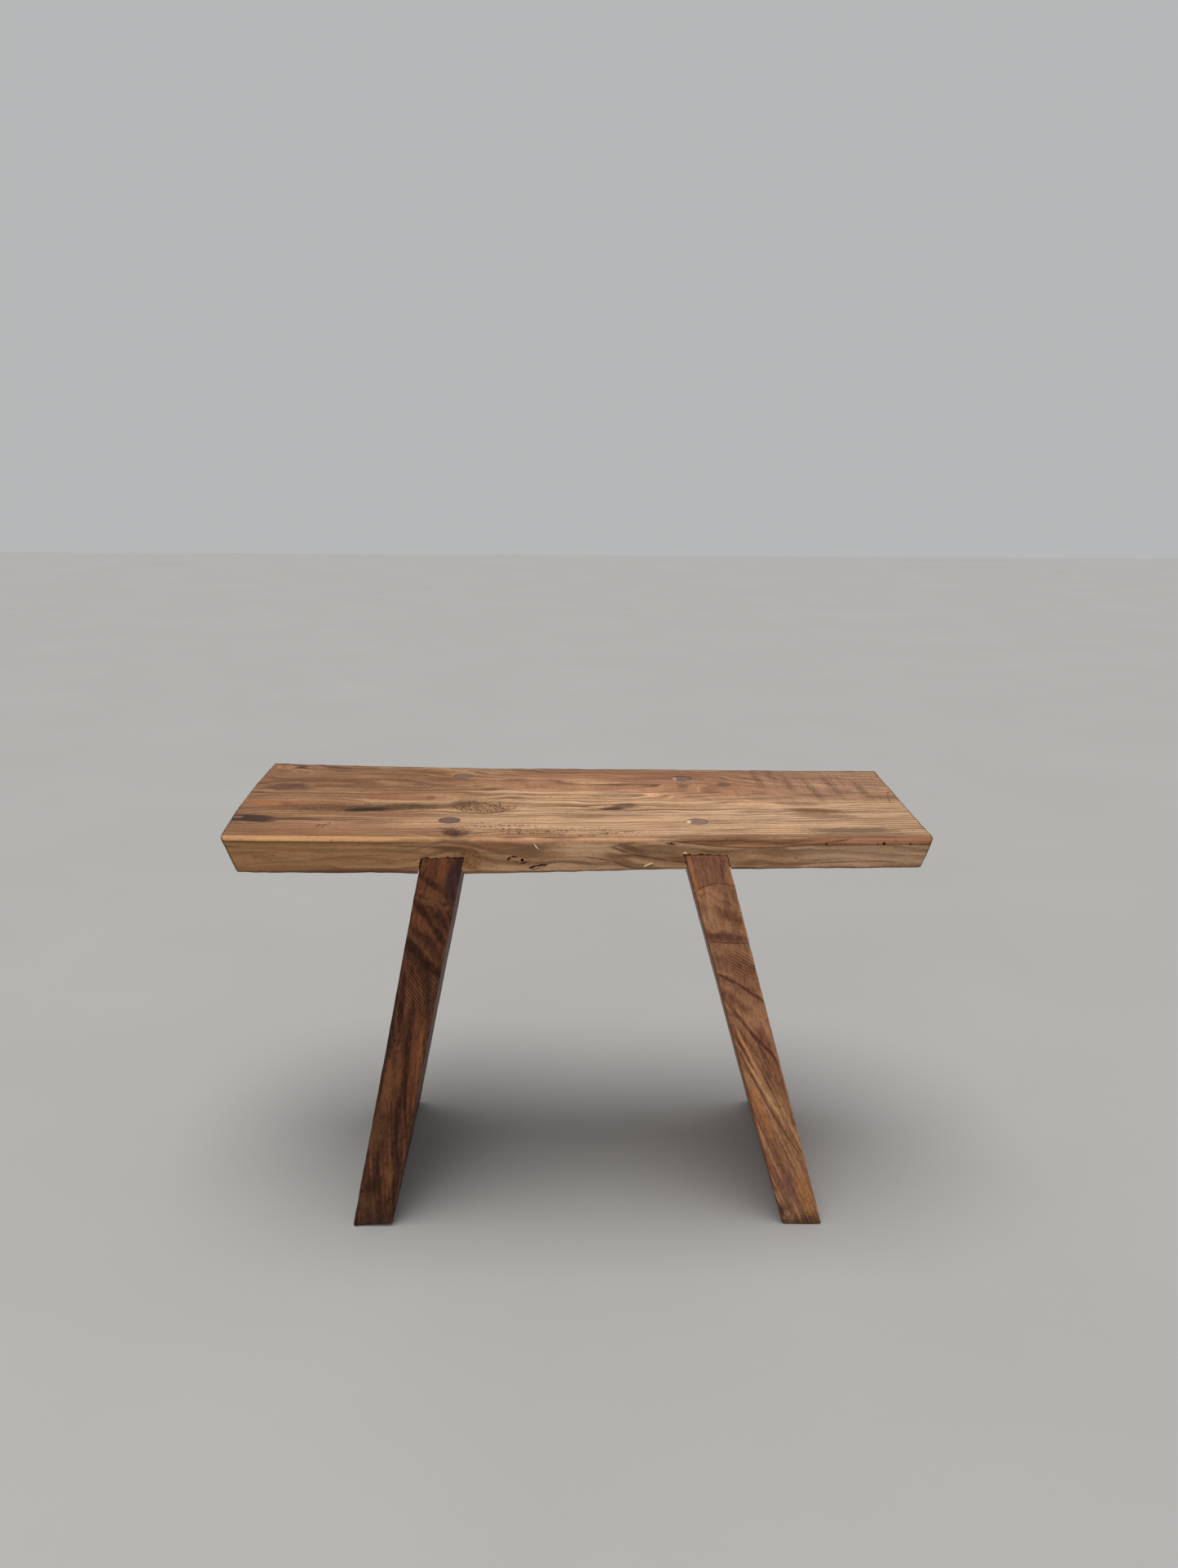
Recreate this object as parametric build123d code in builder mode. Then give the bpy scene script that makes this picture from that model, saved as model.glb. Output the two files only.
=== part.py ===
from build123d import *
import os

# Backless bench: one thick reclaimed plank on two splayed board legs.
# Millimetres, +Z up, +X along the plank, -Y is the front. The origin is on the floor,
# under the middle of the bench's bounding box.

# ---- driving dimensions --------------------------------------------------------------
SEAT_HEIGHT = 453.5
SEAT_LENGTH = 750.0
SEAT_DEPTH = 320.0
SEAT_THICKNESS = 36.5

LEFT_FRONT_SETBACK = 17.5  # how far the left end's front corner stands in from the far left
RIGHT_FRONT_SETBACK = 7.0  # the same at the right end
LEFT_END_BULGE = 4.0  # how far the left end bows out from a straight cut
LEFT_UNDERCUT = 15.0  # both ends are sawn leaning in towards the underside
RIGHT_UNDERCUT = 11.0
RIGHT_DEPTH = 277.0  # the plank is this deep at its right end and SEAT_DEPTH at its left
ARRIS = 2.5  # easing of the front edges

LEG_THICKNESS = 43.0
LEG_DEPTH = 270.0
LEG_ARRIS = 1.5
LEFT_SPLAY = 11.5  # degrees from upright
RIGHT_SPLAY = 15.7
LEFT_LEG_TOP_X = -133.5  # middle of each leg where it meets the top of its housing
RIGHT_LEG_TOP_X = 134.5
LEFT_HOUSING = 13.5  # depth of each housing cut in the plank's underside
RIGHT_HOUSING = 17.0

PLUG_DIAMETER = 23.0
PLUG_LENGTH = 5.5
LEFT_PLUGS_Y = (-95.0, 90.0)  # front and back screw of each leg, drilled by eye
RIGHT_PLUGS_Y = (-98.0, 80.0)
SCREW_SHIFT = 2.5  # the screws stand this far outside the leg's middle plane

SCREW_HEAD_DIAMETER = 21.0
SCREW_HEAD_THICKNESS = 3.4
SCREW_DRIVE_ACROSS = 5.6
SCREW_DRIVE_DEPTH = 2.4
SCREW_LENGTH = 90.0  # from under the head to the tip
SHANK_DIAMETER = 6.0
CORE_DIAMETER = 5.4
THREAD_DIAMETER = 8.0
THREAD_PITCH = 5.0
THREAD_TURNS = 12
TIP_LENGTH = 8.0
CLEARANCE_DIAMETER = 8.6  # hole through the plank for the shank

# ---- worked out ----------------------------------------------------------------------
FRONT = -SEAT_DEPTH / 2
BACK = SEAT_DEPTH / 2
LEFT = -SEAT_LENGTH / 2
RIGHT = SEAT_LENGTH / 2
SEAT_BOTTOM = SEAT_HEIGHT - SEAT_THICKNESS
LEG_MIDDLE_Y = FRONT + LEG_DEPTH / 2
COUNTERBORE_DEPTH = PLUG_LENGTH + SCREW_HEAD_THICKNESS
THREAD_LENGTH = THREAD_TURNS * THREAD_PITCH

os.makedirs("parts", exist_ok=True)


class Leg:
    """Where one leg stands: side is -1 on the left and +1 on the right."""

    def __init__(self, name, side, splay, top_x, housing, plugs_y):
        self.name = name
        self.side = side
        self.rows = tuple(zip(("front", "back"), plugs_y))
        self.splay = splay
        self.top_z = SEAT_BOTTOM + housing
        self.top_x = top_x
        # Local Z runs up the leg, local X across its thickness and local Y to the back.
        self.plane = Plane(
            origin=(top_x, LEG_MIDDLE_Y, self.top_z),
            x_dir=Vector(1, 0, 0).rotate(Axis.Y, -side * splay),
            z_dir=Vector(0, 0, 1).rotate(Axis.Y, -side * splay),
        )

    def screw_plane(self, y):
        """A plane square to one screw, on its axis, level with the seat's top."""
        up = self.plane.z_dir
        rise = (SEAT_HEIGHT - self.top_z) / up.Z
        start = Vector(self.top_x + self.side * SCREW_SHIFT, y, self.top_z)
        return Plane(origin=start + up * rise, x_dir=self.plane.x_dir, z_dir=up)


LEGS = (
    Leg("left", -1, LEFT_SPLAY, LEFT_LEG_TOP_X, LEFT_HOUSING, LEFT_PLUGS_Y),
    Leg("right", 1, RIGHT_SPLAY, RIGHT_LEG_TOP_X, RIGHT_HOUSING, RIGHT_PLUGS_Y),
)


def write(part, name):
    """Labels one finished piece and writes its STEP file."""
    part.label = name
    export_step(part, f"parts/{name}.step")


def seat_outline(left_in, right_in):
    """The plank's plan, with each end moved in by the given amount."""
    front_left = (LEFT + LEFT_FRONT_SETBACK + left_in, FRONT)
    front_right = (RIGHT - RIGHT_FRONT_SETBACK - right_in, FRONT)
    back_right = (RIGHT - right_in, FRONT + RIGHT_DEPTH)
    back_left = (LEFT + left_in, BACK)
    left_middle_x = (front_left[0] + back_left[0]) / 2 - LEFT_END_BULGE
    with BuildLine() as outline:
        Line(front_left, front_right)
        Line(front_right, back_right)
        Spline(back_right, (80, FRONT + 284.5), (-195, FRONT + 297.5), back_left)
        ThreePointArc(back_left, (left_middle_x, 0), front_left)
    return outline.line


def leg_solid(leg, top_z):
    """One leg board, cut level at the floor and at top_z."""
    length = (top_z / leg.plane.z_dir.Z) * 1.2
    with BuildPart() as board:
        with BuildSketch(leg.plane):
            Rectangle(LEG_THICKNESS, LEG_DEPTH)
        extrude(amount=length, both=True)
        split(bisect_by=Plane.XY, keep=Keep.TOP)
        split(bisect_by=Plane.XY.offset(top_z), keep=Keep.BOTTOM)
    return board.part


def screw_profile():
    """Half of the screw's outline: wide flat head, plain shank, ridged thread, point."""
    shank_end = -(SCREW_LENGTH - TIP_LENGTH - THREAD_LENGTH)
    points = [
        (0, SCREW_HEAD_THICKNESS),
        (SCREW_HEAD_DIAMETER / 2 - 2.2, SCREW_HEAD_THICKNESS),
        (SCREW_HEAD_DIAMETER / 2, SCREW_HEAD_THICKNESS - 1.3),
        (SCREW_HEAD_DIAMETER / 2, 0),
        (SHANK_DIAMETER / 2, 0),
        (SHANK_DIAMETER / 2, shank_end),
        (CORE_DIAMETER / 2, shank_end),
    ]
    for turn in range(THREAD_TURNS):
        crest_z = shank_end - (turn + 0.5) * THREAD_PITCH
        points.append((CORE_DIAMETER / 2, crest_z + 1.3))
        points.append((THREAD_DIAMETER / 2, crest_z))
        points.append((CORE_DIAMETER / 2, crest_z - 1.3))
    points.append((CORE_DIAMETER / 2, -(SCREW_LENGTH - TIP_LENGTH)))
    points.append((0, -SCREW_LENGTH))
    return points


# ---- seat ----------------------------------------------------------------------------
with BuildPart() as seat:
    with BuildSketch(Plane.XY.offset(SEAT_BOTTOM)):
        make_face(seat_outline(LEFT_UNDERCUT, RIGHT_UNDERCUT).edges())
    with BuildSketch(Plane.XY.offset(SEAT_HEIGHT)):
        make_face(seat_outline(0, 0).edges())
    loft(ruled=True)
    front_edges = seat.edges().filter_by(Axis.X).group_by(Axis.Y)[0]
    chamfer(front_edges, ARRIS)
    for leg in LEGS:
        add(leg_solid(leg, leg.top_z), mode=Mode.SUBTRACT)
        for row, y in leg.rows:
            with BuildSketch(leg.screw_plane(y)):
                Circle(PLUG_DIAMETER / 2)
            extrude(amount=COUNTERBORE_DEPTH, both=True, mode=Mode.SUBTRACT)
            with BuildSketch(leg.screw_plane(y)):
                Circle(CLEARANCE_DIAMETER / 2)
            extrude(amount=-SEAT_THICKNESS, mode=Mode.SUBTRACT)
write(seat.part, "seat")

# ---- legs ----------------------------------------------------------------------------
for leg in LEGS:
    with BuildPart() as board:
        add(leg_solid(leg, leg.top_z))
        long_edges = board.edges().filter_by(Axis((0, 0, 0), leg.plane.z_dir))
        chamfer(long_edges, LEG_ARRIS)
        for row, y in leg.rows:
            with BuildSketch(leg.screw_plane(y)):
                Circle(THREAD_DIAMETER / 2)
            extrude(amount=-(COUNTERBORE_DEPTH + SCREW_LENGTH), mode=Mode.SUBTRACT)
    write(board.part, f"{leg.name}_leg")

# ---- screws and the plugs over them --------------------------------------------------
for leg in LEGS:
    for row, y in leg.rows:
        top = leg.screw_plane(y)
        head_plane = top.offset(-COUNTERBORE_DEPTH)
        with BuildPart() as screw:
            upright = Plane(origin=head_plane.origin, x_dir=top.x_dir, z_dir=-top.y_dir)
            with BuildSketch(upright):
                with BuildLine():
                    Polyline(screw_profile(), close=True)
                make_face()
            revolve(axis=Axis(head_plane.origin, head_plane.z_dir))
            with BuildSketch(head_plane.offset(SCREW_HEAD_THICKNESS)):
                RegularPolygon(SCREW_DRIVE_ACROSS / 2, 6, major_radius=False)
            extrude(amount=-SCREW_DRIVE_DEPTH, mode=Mode.SUBTRACT)
        write(screw.part, f"{leg.name}_{row}_screw")
        with BuildPart() as plug:
            with BuildSketch(top.offset(-PLUG_LENGTH)):
                Circle(PLUG_DIAMETER / 2)
            extrude(amount=2 * PLUG_LENGTH)
            split(bisect_by=Plane.XY.offset(SEAT_HEIGHT), keep=Keep.BOTTOM)
        write(plug.part, f"{leg.name}_{row}_plug")
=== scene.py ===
import itertools
import math
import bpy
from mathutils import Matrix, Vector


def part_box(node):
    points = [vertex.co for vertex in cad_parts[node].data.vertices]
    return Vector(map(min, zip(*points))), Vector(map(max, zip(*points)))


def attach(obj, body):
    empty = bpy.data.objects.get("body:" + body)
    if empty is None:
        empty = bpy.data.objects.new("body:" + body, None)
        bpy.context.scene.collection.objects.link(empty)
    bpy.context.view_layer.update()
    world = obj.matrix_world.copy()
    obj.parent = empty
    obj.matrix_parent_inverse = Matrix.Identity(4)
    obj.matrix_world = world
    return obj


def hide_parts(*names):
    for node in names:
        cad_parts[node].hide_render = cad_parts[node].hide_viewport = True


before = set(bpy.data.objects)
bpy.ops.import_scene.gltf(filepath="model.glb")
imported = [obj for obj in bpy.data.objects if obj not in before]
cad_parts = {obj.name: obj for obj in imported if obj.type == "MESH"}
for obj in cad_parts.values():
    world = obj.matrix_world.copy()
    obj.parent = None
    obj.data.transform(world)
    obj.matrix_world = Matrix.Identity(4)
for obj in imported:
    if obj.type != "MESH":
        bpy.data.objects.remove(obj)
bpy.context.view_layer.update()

from types import SimpleNamespace

import bpy
import numpy as np
from mathutils import Matrix, Vector

# The bench's looks. Shapes and patterns are worked out in millimetres in the row frame:
# X along the seat, Y from its front to its back, Z up from the floor.
MM = 0.001


def node_box(name):
    """A CAD node's lowest and highest corner, in millimetres."""
    low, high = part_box(name)
    return np.array(low) / MM, np.array(high) / MM


SEAT_LOW, SEAT_HIGH = node_box("seat")
SKIN = 0.5  # the modelled surfaces lie about this far inside the plain solid
FRONT = SEAT_LOW[1] + SKIN

# ---- Mesh tools ----


def noise(points, cell, seed):
    """Smooth noise from -1 to 1 at each point, with bumps of the given size along each axis."""
    p = np.asarray(points, float) / cell
    base = np.floor(p).astype(np.int64)
    f = p - base
    f = f * f * (3 - 2 * f)
    total = np.zeros(len(p))
    for corner in itertools.product((0, 1), repeat=3):
        at = base + corner
        mixed = at[:, 0] * 73856093 ^ at[:, 1] * 19349663 ^ at[:, 2] * 83492791
        mixed = (mixed + seed * 1013904223) & 0xFFFFFFFF
        mixed = (mixed ^ mixed >> 15) * 2246822519 & 0xFFFFFFFF
        mixed = (mixed ^ mixed >> 13) * 3266489917 & 0xFFFFFFFF
        mixed = mixed ^ mixed >> 16
        weight = np.prod(np.where(corner, f, 1 - f), axis=1)
        total += weight * (mixed / 2147483647.5 - 1)
    return total


def smooth(value, low, high):
    """0 below low, 1 above high and a smooth rise between."""
    t = np.clip((value - low) / (high - low), 0, 1)
    return t * t * (3 - 2 * t)


def places(low, high, step, near=0.0, edge=1.0):
    """Grid lines from low to high, a step apart, and an edge step apart within near of each end."""
    inner = np.linspace(low + near, high - near, round((high - low - 2 * near) / step) + 1)
    if not near:
        return inner
    count = round(near / edge)
    first = np.linspace(low, low + near, count, endpoint=False)
    last = np.linspace(high - near, high, count + 1)[1:]
    return np.concatenate((first, inner, last))


def box_lattice(xs, ys, zs):
    """The points and the quads of a box's skin, with grid lines at the given places."""
    number = np.full((len(xs), len(ys), len(zs)), -1)
    on_skin = np.zeros(number.shape, bool)
    for axis in range(3):
        np.moveaxis(on_skin, axis, 0)[[0, -1]] = True
    number[on_skin] = np.arange(on_skin.sum())
    grid = np.stack(np.meshgrid(xs, ys, zs, indexing="ij"), -1)[on_skin]
    quads = []
    for axis, end in itertools.product(range(3), (0, -1)):
        sheet = np.take(number, end, axis=axis)
        ring = [sheet[:-1, :-1], sheet[1:, :-1], sheet[1:, 1:], sheet[:-1, 1:]]
        if (end == 0) != (axis == 1):
            ring.reverse()
        quads.append(np.stack(ring, -1).reshape(-1, 4))
    return grid, np.concatenate(quads)


def rounded(inset, outward, radius):
    """How far each skin point moves in, per axis, to round the box's edges.

    inset is the distance from the nearest face along each axis, and outward its sign.
    The rounding may reach in by a different amount along each axis."""
    reach = np.clip(1 - inset / radius, 0, None)
    longest = np.max(reach, axis=1)
    length = np.linalg.norm(reach, axis=1)
    scale = np.where(length > 0, longest / np.maximum(length, 1e-9), 1)
    return outward * reach * radius * (scale - 1)[:, None]


def make_object(name, points, faces):
    """A mesh object from points in millimetres."""
    mesh = bpy.data.meshes.new(name)
    mesh.from_pydata((np.asarray(points) * MM).tolist(), [], [list(map(int, f)) for f in faces])
    mesh.validate()
    made = bpy.data.objects.new(name, mesh)
    bpy.context.scene.collection.objects.link(made)
    return made


def joined(parts):
    """One (points, faces) pair from several."""
    points, faces, start = [], [], 0
    for part_points, part_faces in parts:
        points.append(np.asarray(part_points, float))
        faces += [[int(i) + start for i in face] for face in part_faces]
        start += len(part_points)
    return np.concatenate(points), faces


def tube(path, radii, sides=10):
    """A closed tube through the path's points, with its own radius at each."""
    path = np.asarray(path, float)
    points, faces = [], []
    for i, (centre, radius) in enumerate(zip(path, radii)):
        ahead = path[min(i + 1, len(path) - 1)] - path[max(i - 1, 0)]
        ahead /= np.linalg.norm(ahead)
        side = np.cross(ahead, (0.3, 0.2, 1.0))
        side /= np.linalg.norm(side)
        other = np.cross(ahead, side)
        for k in range(sides):
            turn = 2 * math.pi * k / sides
            points.append(centre + radius * (math.cos(turn) * side + math.sin(turn) * other))
        if i:
            row = (i - 1) * sides
            for k in range(sides):
                after = (k + 1) % sides
                faces.append([row + k, row + after, row + sides + after, row + sides + k])
    faces.append(list(range(sides))[::-1])
    faces.append([(len(path) - 1) * sides + k for k in range(sides)])
    return points, faces


def carve(piece, parts):
    """Cuts the given closed shapes out of a piece."""
    cutter = make_object("cutter", *joined(parts))
    cut = piece.modifiers.new("carve", "BOOLEAN")
    cut.operation = "DIFFERENCE"
    cut.solver = "MANIFOLD"
    cut.object = cutter
    graph = bpy.context.evaluated_depsgraph_get()
    carved = bpy.data.meshes.new_from_object(piece.evaluated_get(graph))
    piece.modifiers.clear()
    piece.data = carved
    bpy.data.objects.remove(cutter)


def finish_surface(piece):
    """Smooth shading, with the sharper edges kept crisp."""
    piece.data.shade_smooth()
    piece.data.set_sharp_from_angle(angle=math.radians(38))


# ---- Shapes ----

CLEAR = 0.02  # the least distance kept from the CAD box's sides
FAR = 99.0  # stands for a face too far away to matter

SEAT_LENGTH = SEAT_HIGH[0] - SEAT_LOW[0]
SEAT_DEPTH = SEAT_HIGH[1] - SEAT_LOW[1]
HALF_LENGTH = 375
LEFT_FRONT_SETBACK = 17.5  # the left end's front corner stands in by this much
RIGHT_FRONT_SETBACK = 7.0
LEFT_END_BULGE = 4.0
LEFT_UNDERCUT = 15.0  # how far the left end leans in from the top to the bottom
RIGHT_UNDERCUT = 11.0
LEFT_END_SLOPE = 0.41  # the same leans, as a share of the depth below the top
RIGHT_END_SLOPE = 0.30

MIDDLE_DROP = 2.9  # the dished top: how far its middle lies below the CAD's top
END_RISE = 2.3
DISH_POWER = 1.6
LEFT_BACK_DROP = 4.3
RIGHT_BACK_DROP = 1.5

RIGHT_DEPTH = 277.0  # the back edge: a slant, and a swell that starts left of the middle
BACK_SLOPE = 0.0255
SWELL_START = -95
SWELL_REACH = 280
SWELL_POWER = 1.3
SWELL = 23

ARRIS_RADIUS = 1.5
ARRIS_DEPTH = (3.2, 3.8, 4.6)  # the front one: its middle, and what the left and right ends add
ARRIS_HEIGHT = (2.4, 0.9, 4.0)
HOLLOW_ENDS = (86.0, 294.0)  # a scooped stretch of the front arris
HOLLOW_HEIGHT = 9.5
HOLLOW_DEPTH = 2.4

UNDERSIDE_LINE = (
    # x and height of the seat's underside, lowest beside the left leg
    (-375, 415.7), (-300, 414.7), (-244, 414.1), (-175, 413.7), (-158, 413.2), (-110, 413.5),
    (-58, 414.4), (12, 416.4), (68, 417.9), (114, 418.3), (196, 419.0), (294, 419.9), (375, 420.3),
)


def seat_top(x, y):
    """Height of the seat's top: the board is a little dished and its left back corner drops."""
    t = (y - FRONT) / SEAT_DEPTH
    away = (np.abs(x) / HALF_LENGTH) ** DISH_POWER
    drop = np.where(x < 0, LEFT_BACK_DROP, RIGHT_BACK_DROP)
    return SEAT_HIGH[2] - MIDDLE_DROP + away * (END_RISE - t * drop)


def back_edge(x):
    """Y of the seat's back edge, a gentle natural curve that swells at the left."""
    swell = np.clip((SWELL_START - x) / SWELL_REACH, 0, 1) ** SWELL_POWER
    return SEAT_LOW[1] + RIGHT_DEPTH + BACK_SLOPE * (HALF_LENGTH - x) + SWELL * swell


def hollow_across(x):
    """0 outside the scooped stretch of the front arris and 1 at its middle."""
    t = np.clip((x - HOLLOW_ENDS[0]) / (HOLLOW_ENDS[1] - HOLLOW_ENDS[0]), 0, 1)
    return np.sin(math.pi * t) ** 0.8


def front_arris(x):
    """Depth and height of the worn front top edge: broad at both ends and small in the middle."""
    left, right = smooth(-x, 150, 260), smooth(x, 215, 290)
    return [middle + more_left * left + more_right * right
            for middle, more_left, more_right in (ARRIS_DEPTH, ARRIS_HEIGHT)]


def build_seat():
    """The seat's plank, before its housings, holes and recesses are cut."""
    along = places(SEAT_LOW[0], SEAT_HIGH[0], 3.2, near=8, edge=1.6)
    across = places(0, SEAT_DEPTH, 3.3, near=9, edge=1.3)
    up = places(0, 1, 1 / 20, near=0.16, edge=0.04)
    grid, quads = box_lattice(along, across, up)
    t = grid[:, 1] / SEAT_DEPTH
    h = grid[:, 2]
    left = SEAT_LOW[0] + LEFT_FRONT_SETBACK * (1 - t) - 4 * LEFT_END_BULGE * t * (1 - t)
    left += LEFT_UNDERCUT * (1 - h) + SKIN
    right = SEAT_HIGH[0] - RIGHT_FRONT_SETBACK * (1 - t) - RIGHT_UNDERCUT * (1 - h) - SKIN
    s = (grid[:, 0] - SEAT_LOW[0]) / SEAT_LENGTH
    x = left + s * (right - left)
    y = FRONT + t * (back_edge(x) - SKIN - FRONT)
    top = seat_top(x, y)
    bottom = np.interp(x, *zip(*UNDERSIDE_LINE))
    z = bottom + h * (top - bottom)

    to_left, to_right = x - left, right - x
    to_front, to_back = y - FRONT, (1 - t) * (back_edge(x) - FRONT)
    to_bottom, to_top = z - bottom, top - z
    sides = ((to_left, to_right), (to_front, to_back), (to_bottom, to_top))
    inset = np.stack([np.minimum(*pair) for pair in sides], 1)
    outward = np.stack([np.where(low < high, -1, 1) for low, high in sides], 1)
    points = np.stack((x, y, z), 1)

    # the long edges are rounded first, then those round the two ends
    worn = ARRIS_RADIUS + 0.6 * noise(points, (23, 23, 23), 3)
    at_front_top = (1 - smooth(to_front, 9, 14)) * (1 - smooth(to_top, 9, 14))
    depth, height = ((size - ARRIS_RADIUS) * at_front_top for size in front_arris(x))
    far = np.full(len(points), FAR)
    lengthwise = np.stack((worn, worn + depth, worn + height), 1)
    points += rounded(np.stack((far, inset[:, 1], inset[:, 2]), 1), outward, lengthwise)
    nearer = inset.copy()
    nearer[np.arange(len(points)), 1 + np.argmax(inset[:, 1:], axis=1)] = FAR
    points += rounded(nearer, outward, np.stack((worn, worn, worn), 1))

    # the scooped stretch
    lens = hollow_across(x)
    low_edge = top - HOLLOW_HEIGHT * lens
    scoop = HOLLOW_DEPTH * lens * smooth(points[:, 2], low_edge - 0.6, low_edge + 3.5)
    points[:, 1] += scoop * (1 - smooth(to_front, 5, 14))

    # slow waves, then small dents that are stronger along the arrises
    near_edge = np.sort(inset, axis=1)[:, 1]
    edge = 1 - smooth(near_edge, 1.5, 9)
    for axis, seed in ((0, 11), (1, 12), (2, 13)):
        wave = 0.30 * noise(points, (95, 55, 40), seed) + 0.14 * noise(points, (30, 9, 9), seed + 20)
        dent = 0.34 * edge * noise(points, (9, 7, 7), seed + 40)
        points[:, axis] += wave + dent
    under = 1 - smooth(to_bottom, 2, 10)
    points[:, 2] += under * (0.5 * noise(points, (60, 35, 50), 81) + 0.35 * noise(points, (14, 70, 50), 82))
    lowest = SEAT_LOW + [CLEAR, CLEAR, -9]  # the underside has room to wave
    return make_object("bench_seat", np.clip(points, lowest, SEAT_HIGH - CLEAR), quads)


class LegPlace:
    """Where a leg stands, worked out from its CAD box."""

    def __init__(self, side, splay):
        self.side = side
        self.low, self.high = node_box(("left_leg", "right_leg")[side > 0])
        self.lean = math.tan(math.radians(splay))
        self.thick = (self.high[0] - self.low[0]) - self.lean * (self.high[2] - self.low[2])
        outer = self.low[0] if side < 0 else self.high[0]
        self.foot_x = outer - side * self.thick / 2

    def middle(self, z):
        """X of the middle of the leg at a height."""
        return self.foot_x - self.side * self.lean * (z - self.low[2])


LEFT = LegPlace(-1, 11.5)
RIGHT = LegPlace(1, 15.7)
LEFT_FOOT_LIFT = 3.6  # the left foot's cut rises towards its inner edge


def build_leg(leg, name, lift, seed):
    """A leg's board with worn arrises. Its foot's inner edge is lifted off the floor by lift."""
    half = leg.thick / 2 - SKIN
    depth = leg.high[1] - leg.low[1]
    grid, quads = box_lattice(
        places(-half, half, 2.0, near=5, edge=1.0),
        places(0, depth, 3.6, near=6, edge=1.2),
        places(0, 1, 1 / 170, near=0.012, edge=0.003),
    )
    u, t, h = grid.T
    t = t / depth
    low = leg.low[2] + lift * (u + half) / (2 * half)
    z = low + h * (leg.high[2] - low - SKIN)
    y = leg.low[1] + SKIN + t * (depth - 2 * SKIN)
    to_end = np.minimum(z - low, leg.high[2] - z)
    inset = np.stack((half - np.abs(u), np.minimum(t, 1 - t) * depth, to_end), 1)
    outward = np.stack((np.sign(u), np.sign(t - 0.5), np.sign(h - 0.5)), 1)
    shape = np.stack((u, y, z), 1)
    radius = 1.3 + 0.6 * noise(shape, (15, 15, 24), seed) + 0.9 * (1 - smooth(z, 1, 8))
    radius = np.where(z > leg.high[2] - 6, 0.6, radius)
    shape += rounded(inset, outward, np.stack((radius, radius, radius), 1))
    edge = 1 - smooth(np.sort(inset, axis=1)[:, 1], 1.5, 8)
    for axis in range(2):
        wave = 0.35 * noise(shape, (40, 50, 90), seed + axis + 1)
        wave = wave + 0.13 * noise(shape, (9, 9, 30), seed + axis + 5)
        shape[:, axis] += wave + 0.32 * edge * noise(shape, (8, 8, 9), seed + axis + 9)
    shape[:, 0] += leg.middle(shape[:, 2])
    return make_object(name, np.clip(shape, leg.low + CLEAR, leg.high - CLEAR), quads)


HOUSING_GAP = 0.6


def housing_cutter(leg, seed):
    """The slot in the seat's underside that takes a leg, with a ragged sawn wall."""
    half = leg.thick / 2 + HOUSING_GAP - SKIN
    across = places(-half, half, 0.9)
    inwards = places(-6, leg.high[1] - leg.low[1] + HOUSING_GAP, 4.0)
    grid, quads = box_lattice(across, inwards, places(0, 1, 1 / 36))
    u, y, h = grid.T
    bottom = SEAT_LOW[2] - 25
    z = bottom + h * (leg.high[2] + HOUSING_GAP - bottom)
    points = np.stack((leg.middle(z) + u, leg.low[1] + y, z), 1)
    ragged = 0.45 * noise(points, (3.1, 7, 3.1), seed) + 0.45 * noise(points, (1.6, 5, 1.6), seed + 1)
    ragged = np.maximum(ragged, -0.3)
    points[:, 2] += np.where(h == 1, ragged * 2.6, 0)
    points[:, 0] += np.where(np.abs(u) >= half - 0.01, np.sign(u) * ragged * 1.6, 0)
    return points, quads


def surface_hole(x, z, radius):
    """A round beetle hole in the seat's front, 9 mm deep."""
    start = np.array((x, FRONT - 2, z))
    end = np.array((x, FRONT + 9.0, z))
    steps = np.linspace(0, 1, 5)[:, None]
    return tube(start + (end - start) * steps, [radius * f for f in (1.15, 1.05, 1, 1, 0.7)])


def gallery(points, radius):
    """An open channel that a beetle left along the seat's front."""
    path = [(x, FRONT + 0.3 + 0.4 * math.sin(2.2 * i), z) for i, (x, z) in enumerate(points)]
    radii = [radius * (0.55, 1.0, 0.85, 1.05, 0.5)[i % 5] for i in range(len(points))]
    radii[-1] = radius * 0.4
    return tube(path, radii)


SEAT_HOLES = (
    # x, z, radius
    (-52.4, 428.3, 1.7), (99.6, 446.6, 0.9), (257.8, 445.4, 1.1), (310.3, 446.2, 0.8),
    (316.8, 446.0, 1.8), (343.8, 445.9, 1.2), (265.0, 445.9, 0.6), (268.6, 446.2, 0.7),
    (272.6, 446.0, 0.6), (276.4, 446.3, 0.7), (-31.5, 421.0, 0.9), (228.0, 431.0, 0.6),
)
SEAT_GALLERIES = (
    # x and z of each bend, radius
    (((-67.5, 427.6), (-66.4, 429.8), (-63.8, 431.4), (-60.4, 431.9), (-57.0, 431.4)), 1.35),
    (((-55.0, 424.0), (-51.0, 425.4), (-47.0, 426.6), (-43.0, 427.8)), 1.15),
    (((-45.5, 419.6), (-41.5, 420.8), (-37.5, 421.3), (-32.5, 422.6), (-26.5, 423.6)), 1.9),
    (((-42.0, 418.8), (-38.0, 419.8), (-34.0, 420.6), (-30.0, 421.8)), 1.4),
    (((-60.0, 427.2), (-57.6, 426.0), (-55.8, 424.6)), 0.8),
    (((353.0, 445.2), (358.0, 445.6), (363.5, 445.4), (369.5, 445.9)), 1.0),
)
LEFT_LEG_HOLES = (
    # distance from the middle of the front, height, radius
    (-19.0, 241.9, 0.9), (-16.6, 232.4, 0.9), (-14.0, 226.8, 1.1), (-15.9, 208.2, 1.1),
    (-15.5, 205.4, 1.0), (-17.4, 201.0, 0.8), (-10.4, 117.1, 1.1),
)


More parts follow.
